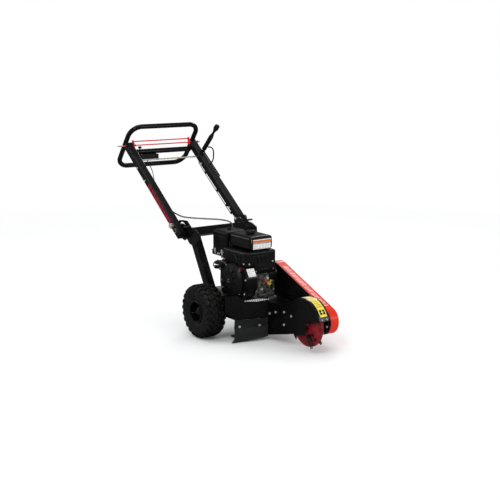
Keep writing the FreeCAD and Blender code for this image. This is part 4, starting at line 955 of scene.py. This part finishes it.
def engine_lines():
    """Plug lead, fuel hose and breather, the governor's rod, spring and plates, and two lever tabs."""
    boot = at("spark_plug_boot", 0, 0, 0.5, 12, 12, 0)
    tank = at("fuel_tank", 0, 0, 0, 8, 24, 8)
    rocker = at("rocker_cover", 0.3, 0.8, 1, 0, 0, -8)
    lines = {
        "plug_lead": (3.6, [boot, boot + Vector((-6, -12, 8)), boot + Vector((18, -22, 34)),
                            spot(-62, -128, 446), spot(-12, -132, 452), spot(18, -120, 448)]),
        "fuel_hose": (3.4, [tank, tank + Vector((-14, -10, -10)), spot(6, -112, 520), spot(3, -118, 470),
                            spot(-6, -112, 430)]),
        "breather_hose": (5, [rocker, rocker + Vector((-16, 2, 22)), spot(-108, 42, 470),
                              spot(-100, 40, 486)]),
    }
    for name, (radius, line) in lines.items():
        Shape("soft_rubber").tube(curve_through(line, 10), radius, 12).done(name)

    shape = Shape("zinc").tube([spot(-4, -100, 446), spot(70, -100, 459)], 1.3, 8)
    coil = []
    steps = 150
    for k in range(steps):
        across, over = 3.2 * math.cos(0.55 * k), 3.2 * math.sin(0.55 * k)
        coil.append(spot(-2 + 60 * k / steps, -106 + across, 449 + 8 * k / steps + over))
    shape.tube(coil, 0.5, 5)
    shape.block(spot(60, -112, 452), spot(96, -92, 455), 0.8)
    shape.block(spot(82, -104, 440), spot(90, -100, 462), 0.8)
    shape.block(spot(-62, -117, 462), spot(-2, -113.5, 474), 0.8)
    shape.block(spot(-92, -126, 482), spot(-62, -122.5, 492), 0.8)
    shape.tube([spot(-46, -126, 498), spot(-20, -127, 504), spot(0, -125, 520)], 1.8, 8)
    shape.done("governor_linkage")

    for body, tab in (("choke", "choke_tab"), ("fuel_valve", "fuel_valve_tab")):
        low, high = box(f"{body}_lever")
        shape = Shape("zinc")
        shape.block((low.x - 4, low.y - 4, low.z - 2), (low.x + 12, low.y + 1, high.z + 2), 1.2)
        shape.lathe([(0, -4.5), (5.5, -4.5), (5.5, 0), (0, 0.5)],
                    facing((high.x - 6, low.y, (low.z + high.z) / 2), X, Y), 24)
        shape.done(tab, body)


def cylinder_trim():
    """Rocker cover bolts, and the muffler's screws and straps."""
    back_x, back_z = polar(1, 170)
    back = Vector((back_x, 0, back_z))
    up = Y.cross(back)
    centre = Vector((CRANK.x, 0, CRANK.z)) + back * 236
    heads = [(centre + Y * y + up * z, back, 4.2) for y in (-34, 34) for z in (-32, 32)]
    bolts("rocker_bolts", heads)

    low, high = box("muffler")
    heads = [((x, high.y, z), Y, 3.6) for x in (low.x + 44, high.x - 12) for z in (low.z + 12, high.z - 14)]
    bolts("muffler_screws", heads)
    shape = Shape("engine_black")
    for z in (low.z + 34, high.z - 34):
        shape.block((low.x + 28, low.y + 0.5, z), (high.x + 2, high.y - 8, z + 6), 1.5)
    shape.done("muffler_straps")


# ---------------- handle

RISE = math.radians(37.6)
UP_HANDLE = Vector((-math.cos(RISE), 0, math.sin(RISE)))
OFF_HANDLE = Vector((math.sin(RISE), 0, math.cos(RISE)))


def on_upright(reach, lift, y):
    """A point by an upright: distance up from the hinge, height off its middle, and sideways place."""
    return HINGE + UP_HANDLE * reach + OFF_HANDLE * lift + Y * y


def upright_marks():
    """A row of slanted strokes on the right upright's outer face."""
    face = box("handle_uprights")[0].y - 0.1
    place = facing((HINGE.x, face, HINGE.z), UP_HANDLE, -Y)
    shape = Shape("decal_red")
    reach, gap, last = 20, 8, 405
    widths = (9, 14, 7, 12, 10, 16, 8, 11)
    k = 0
    while reach < last:
        wide = widths[k % len(widths)]
        shape.prism(slanted(reach, wide, 8, 17, -17), 0.5, place)
        reach += wide + gap
        k += 1
    shape.done("upright_marks", "handle", "gloss_plastic")


def upright_plugs():
    """Plastic plugs in the uprights' open ends."""
    for side, out in SIDES:
        shape = Shape("black_plastic")
        for reach, way in ((-50, -1), (799.4, 1)):
            place = facing(on_upright(reach, 0, out * 250), Y, UP_HANDLE * way)
            shape.prism(slanted(-24.5, 49, 0, -22, 22), 3, place, 1.4, 0.1)
            shape.prism(slanted(-13, 26, 0, -11, 11), 1.4, place, 0.6, 3)
        shape.done(f"upright_plugs_{side}", "handle")


def cables():
    """Control cables clipped inside the right upright, over the hinge and on to the engine."""
    hang = [spot(-948, -122, 992), spot(-934, -117, 970), spot(-898, -111, 920), spot(-860, -119, 860),
            spot(-778, -150, 790), spot(-652, -191, 752), spot(-521, -213, 724), spot(-426, -219, 704)]
    sag = [spot(-360, -205, 690), spot(-318, -150, 682), spot(-298, -60, 671), spot(-272, 20, 662),
           spot(-205, 46, 655), spot(-120, 10, 642), spot(-40, -62, 600)]
    step = Vector((0, 1, -5.5))
    runs = (("throttle_cable", 2.4, [spot(20, -104, 556), spot(70, -100, 464)]),
            ("stop_cable", 1.9, [spot(150, -158, 520), spot(226, -168, 458)]))
    for index, (name, radius, ends) in enumerate(runs):
        line = [p + step * index for p in hang + sag] + ends
        piece = Shape("soft_rubber").tube(curve_through(line, 10), radius).done(name, None)
        blend(piece)

    shape = Shape("black_plastic")
    for reach in (560, 108):
        origin = on_upright(reach, -8, -221.5)
        shape.hoop(facing(origin + Y * 1.5, OFF_HANDLE, OFF_HANDLE.cross(Y)), 7.2, 0, 1.8, 20)
        shape.block((-5, -3.4, -5), (5, 1, 5), 1, facing(origin + OFF_HANDLE * 10, UP_HANDLE, OFF_HANDLE))
    for reach in (510, 330, 190, 118):
        shape.block((-9, -5, -4), (9, 5, 4), 1.6, facing(on_upright(reach, -24, 224), UP_HANDLE, OFF_HANDLE))
    shape.done("cable_clips", "handle")

    stations = ((620, -26, 226), (510, -26, 222), (330, -27, 222), (190, -27, 222), (118, -26, 221))
    line = [on_upright(*station) for station in stations]
    Shape("soft_rubber").tube(curve_through(line), 2.6).done("brake_cable", "handle")


def control_trim():
    """Raised plates, ticks and screws on the control box, its button's collar and the throttle's ribs."""
    low, high = box("control_box")
    shape = Shape("black_plastic")
    for near, far in ((low.y + 8, low.y + 26), (low.y + 38, high.y - 12)):
        shape.block((low.x + 4, near, high.z - 0.5), (high.x - 4, far, high.z + 1.6), 0.7)
    shape.done("control_plates", "handle")
    shape = Shape("label_white")
    for k in range(7):
        x = low.x + 10 + 7 * k
        shape.block((x, low.y + 20, high.z + 1.5), (x + 1.2, low.y + 25, high.z + 2), 0.1)
    shape.done("throttle_ticks", "handle", "gloss_plastic")
    heads = [((x, y, high.z + 1.4), Z, 2.8)
             for y in (low.y + 46, high.y - 18) for x in (low.x + 10, high.x - 10)]
    bolts("control_screws", heads, "handle")
    button = at("stop_button", 0, 0.5, 0.5)
    button.x = low.x + 0.5
    shape = Shape("black_plastic").collar(facing(button, Y, -X), 13, 17, 0, 4, 32, taper=1)
    shape.done("button_collar", "handle")

    knob = at("throttle_lever", 0.5, 0.5, 1, dz=-8)
    shape = Shape("gloss_plastic")
    for k in range(12):
        out = Vector((*polar(1, 30 * k), 0))
        rib = [knob + out * 10.6 - Z * 5, knob + out * 11.2, knob + out * 10.6 + Z * 4]
        shape.tube(rib, [0.6, 1.2, 0.6], 6)
    shape.done("throttle_knob_ribs", "throttle")


def bail_trim():
    """Collars and bushes where the bail's rod passes the uprights, and the rod's bare tip."""
    bail = pivot("bail_squeeze")

    def across(y, normal=Y):
        """A frame on the rod's axis."""
        return facing((bail.x, y, bail.z), X, normal)

    shape = Shape("bail_red")
    for y in (-211, 211):
        shape.collar(across(y), 4.1, 8, -4, 4)
    shape.done("bail_collars", "bail")
    sleeve = [(4.1, 0), (4.8, 0), (4.8, 36), (0, 38), (0, 36.5), (4.1, 36)]
    tip_y = box("operator_bail")[0].y + 36
    Shape("zinc").lathe(sleeve, across(tip_y, -Y), 20).done("bail_tip", "bail")
    shape = Shape("black_plastic")
    for y in (-279, 283):
        shape.collar(across(y), 4.6, 9, -3, 3)
    shape.done("bail_bushes", "handle")


def brake_trim():
    """Rings and cones on the brake lever's grip and neck, and the hoop it rests on."""
    place = facing(pivot("brake_pull"), Y, X + Z)
    shape = Shape("black_plastic")
    for k in range(13):
        shape.hoop(place, 14.7, 76 + 9.5 * k, 1.2, 28, 6)
    shape.lathe([(8, 202), (14.8, 202), (12, 216), (9.2, 230), (8, 230)], place, 32)
    shape.lathe([(8, 252), (9, 252), (12, 264), (16.5, 276), (8, 276)], place, 32)
    shape.done("brake_grip", "brake")
    hoop = [spot(-808, 279, 940), spot(-792, 291, 954), spot(-770, 296, 986), spot(-764, 296, 1030),
            spot(-772, 296, 1056), spot(-796, 294, 1068), spot(-822, 292, 1066)]
    shape = Shape("powder_black").tube(curve_through(hoop), 4.5, 12)
    shape.boss(facing(hoop[0], X, Y), 7, 2, foot=6, taper=0, steps=20)
    shape.done("lever_rest", "handle")


def hinge_trim():
    """Knurled clamp knobs and washers at the handle's hinge."""
    for side, out in SIDES:
        shape = Shape("black_plastic")
        clamp = on_upright(45, 0, 0)
        clamp.y = out * 283
        place = facing(clamp, X, Y * out)
        for k in range(10):
            ridge = place @ Matrix.Translation((*polar(16, 36 * k), 0))
            shape.boss(ridge, 3.4, 7, foot=7, taper=0, steps=12)
        shape.done(f"clamp_knob_{side}", "handle")
        washer = facing((HINGE.x, out * 275, HINGE.z), X, Y * out)
        shape = Shape("zinc").collar(washer, 6.2, 13.5, 0, 1.6, 32, bevel=0)
        shape.done(f"hinge_washer_{side}", "handle")


# ---------------- studio, in metres

def floor():
    """A pale floor that fades to white far from the object and looks dark in reflections."""
    mesh = bpy.data.meshes.new("floor")
    size = 40
    corners = [(x, y, 0) for x, y in slanted(-size, 2 * size, 0, -size, size)]
    mesh.from_pydata(corners, [], [(0, 1, 2, 3)])
    made = Surface("floor_paint")
    made.paint(base_color=made.mix(made.noise(1.5), (0.86, 0.86, 0.855), (0.88, 0.88, 0.88)), roughness=0.9,
               specular_ior_level=0.1)
    rays = made.node("ShaderNodeLightPath").outputs
    reach = made.node("ShaderNodeVectorMath", {0: made.place}, operation="LENGTH").outputs["Value"]
    far_off = made.calc("MULTIPLY", made.spread(reach, 1.6, 5.5), rays["Is Camera Ray"])
    white = made.node("ShaderNodeEmission", {"Color": (1.0, 1.0, 1.0)}).outputs[0]
    dark = made.node("ShaderNodeBsdfDiffuse", {"Color": (0.10, 0.10, 0.10)}).outputs[0]
    seen = made.either(far_off, made.shader.outputs[0], white)
    whole = made.either(rays["Is Glossy Ray"], seen, dark)
    made.set(made.tree.nodes["Material Output"].inputs["Surface"], whole)
    mesh.materials.append(made.material)
    ground = link("floor", mesh)
    ground.location.z = -0.0005


def sky():
    """White to the camera, soft white light on the object and dim in its reflections."""
    world = bpy.data.worlds.new("studio")
    made = NodeTree(world)
    seen = made.tree.nodes["Background"]
    made.set(seen.inputs["Color"], (1.0, 1.0, 1.0))
    lit = made.node("ShaderNodeBackground", {"Color": (0.98, 0.99, 1.0)}).outputs[0]
    mirrored = made.node("ShaderNodeBackground", {"Color": (0.93, 0.96, 1.0), "Strength": 0.10}).outputs[0]
    rays = made.node("ShaderNodeLightPath").outputs
    unseen = made.either(rays["Is Glossy Ray"], lit, mirrored)
    whole = made.either(rays["Is Camera Ray"], unseen, seen.outputs[0])
    made.set(made.tree.nodes["World Output"].inputs["Surface"], whole)
    bpy.context.scene.world = world


def lights():
    """Soft area lights that face the object's middle."""
    target = (cad_low + cad_high) / 2
    for name, place, power, width, height in (
            ("key", (2.4, -2.6, 3.4), 34, 1.0, 1.0),
            ("fill", (-3.2, -2.8, 1.8), 14, 1.4, 1.0),
            ("rim", (-2.2, 3.0, 3.0), 30, 1.2, 0.8),
            ("front", (3.6, 2.0, 1.6), 14, 1.0, 1.0),
            ("top", (0.0, 0.0, 4.2), 20, 1.6, 1.6)):
        data = bpy.data.lights.new(name, "AREA")
        data.shape = "RECTANGLE"
        data.size, data.size_y, data.energy = width, height, power
        light = link(name, data)
        light.location = place
        light.rotation_euler = (target - Vector(place)).to_track_quat("-Z", "Y").to_euler()


def camera():
    """Low, in front and to the object's right, with a long lens."""
    data = bpy.data.cameras.new("camera")
    data.lens, data.sensor_width, data.clip_end = 73.13, 36, 200
    view = link("camera", data)
    view.location = AXLE.x * MM + 5.0574, -3.5317, 1.7096
    view.rotation_euler = math.radians(78.971), 0, math.radians(54.616)
    bpy.context.scene.camera = view
    bpy.context.scene.view_settings.view_transform = "Standard"


dress_frame()
for wheel_side, outwards in SIDES:
    tyre(wheel_side)
    wheel_trim(wheel_side, outwards)
for build in (axle_ends, rubber_flap, weld_beads, mast_feet, shield_mark, belt_guard_trim,
              cutter_guard_trim, tank_trim, shroud_trim, air_cleaner_trim, blower_trim, recoil_trim,
              starter_rope, crankcase_trim, engine_lines, cylinder_trim, upright_marks, upright_plugs,
              cables, control_trim, bail_trim, brake_trim, hinge_trim, floor, sky, lights, camera):
    build()
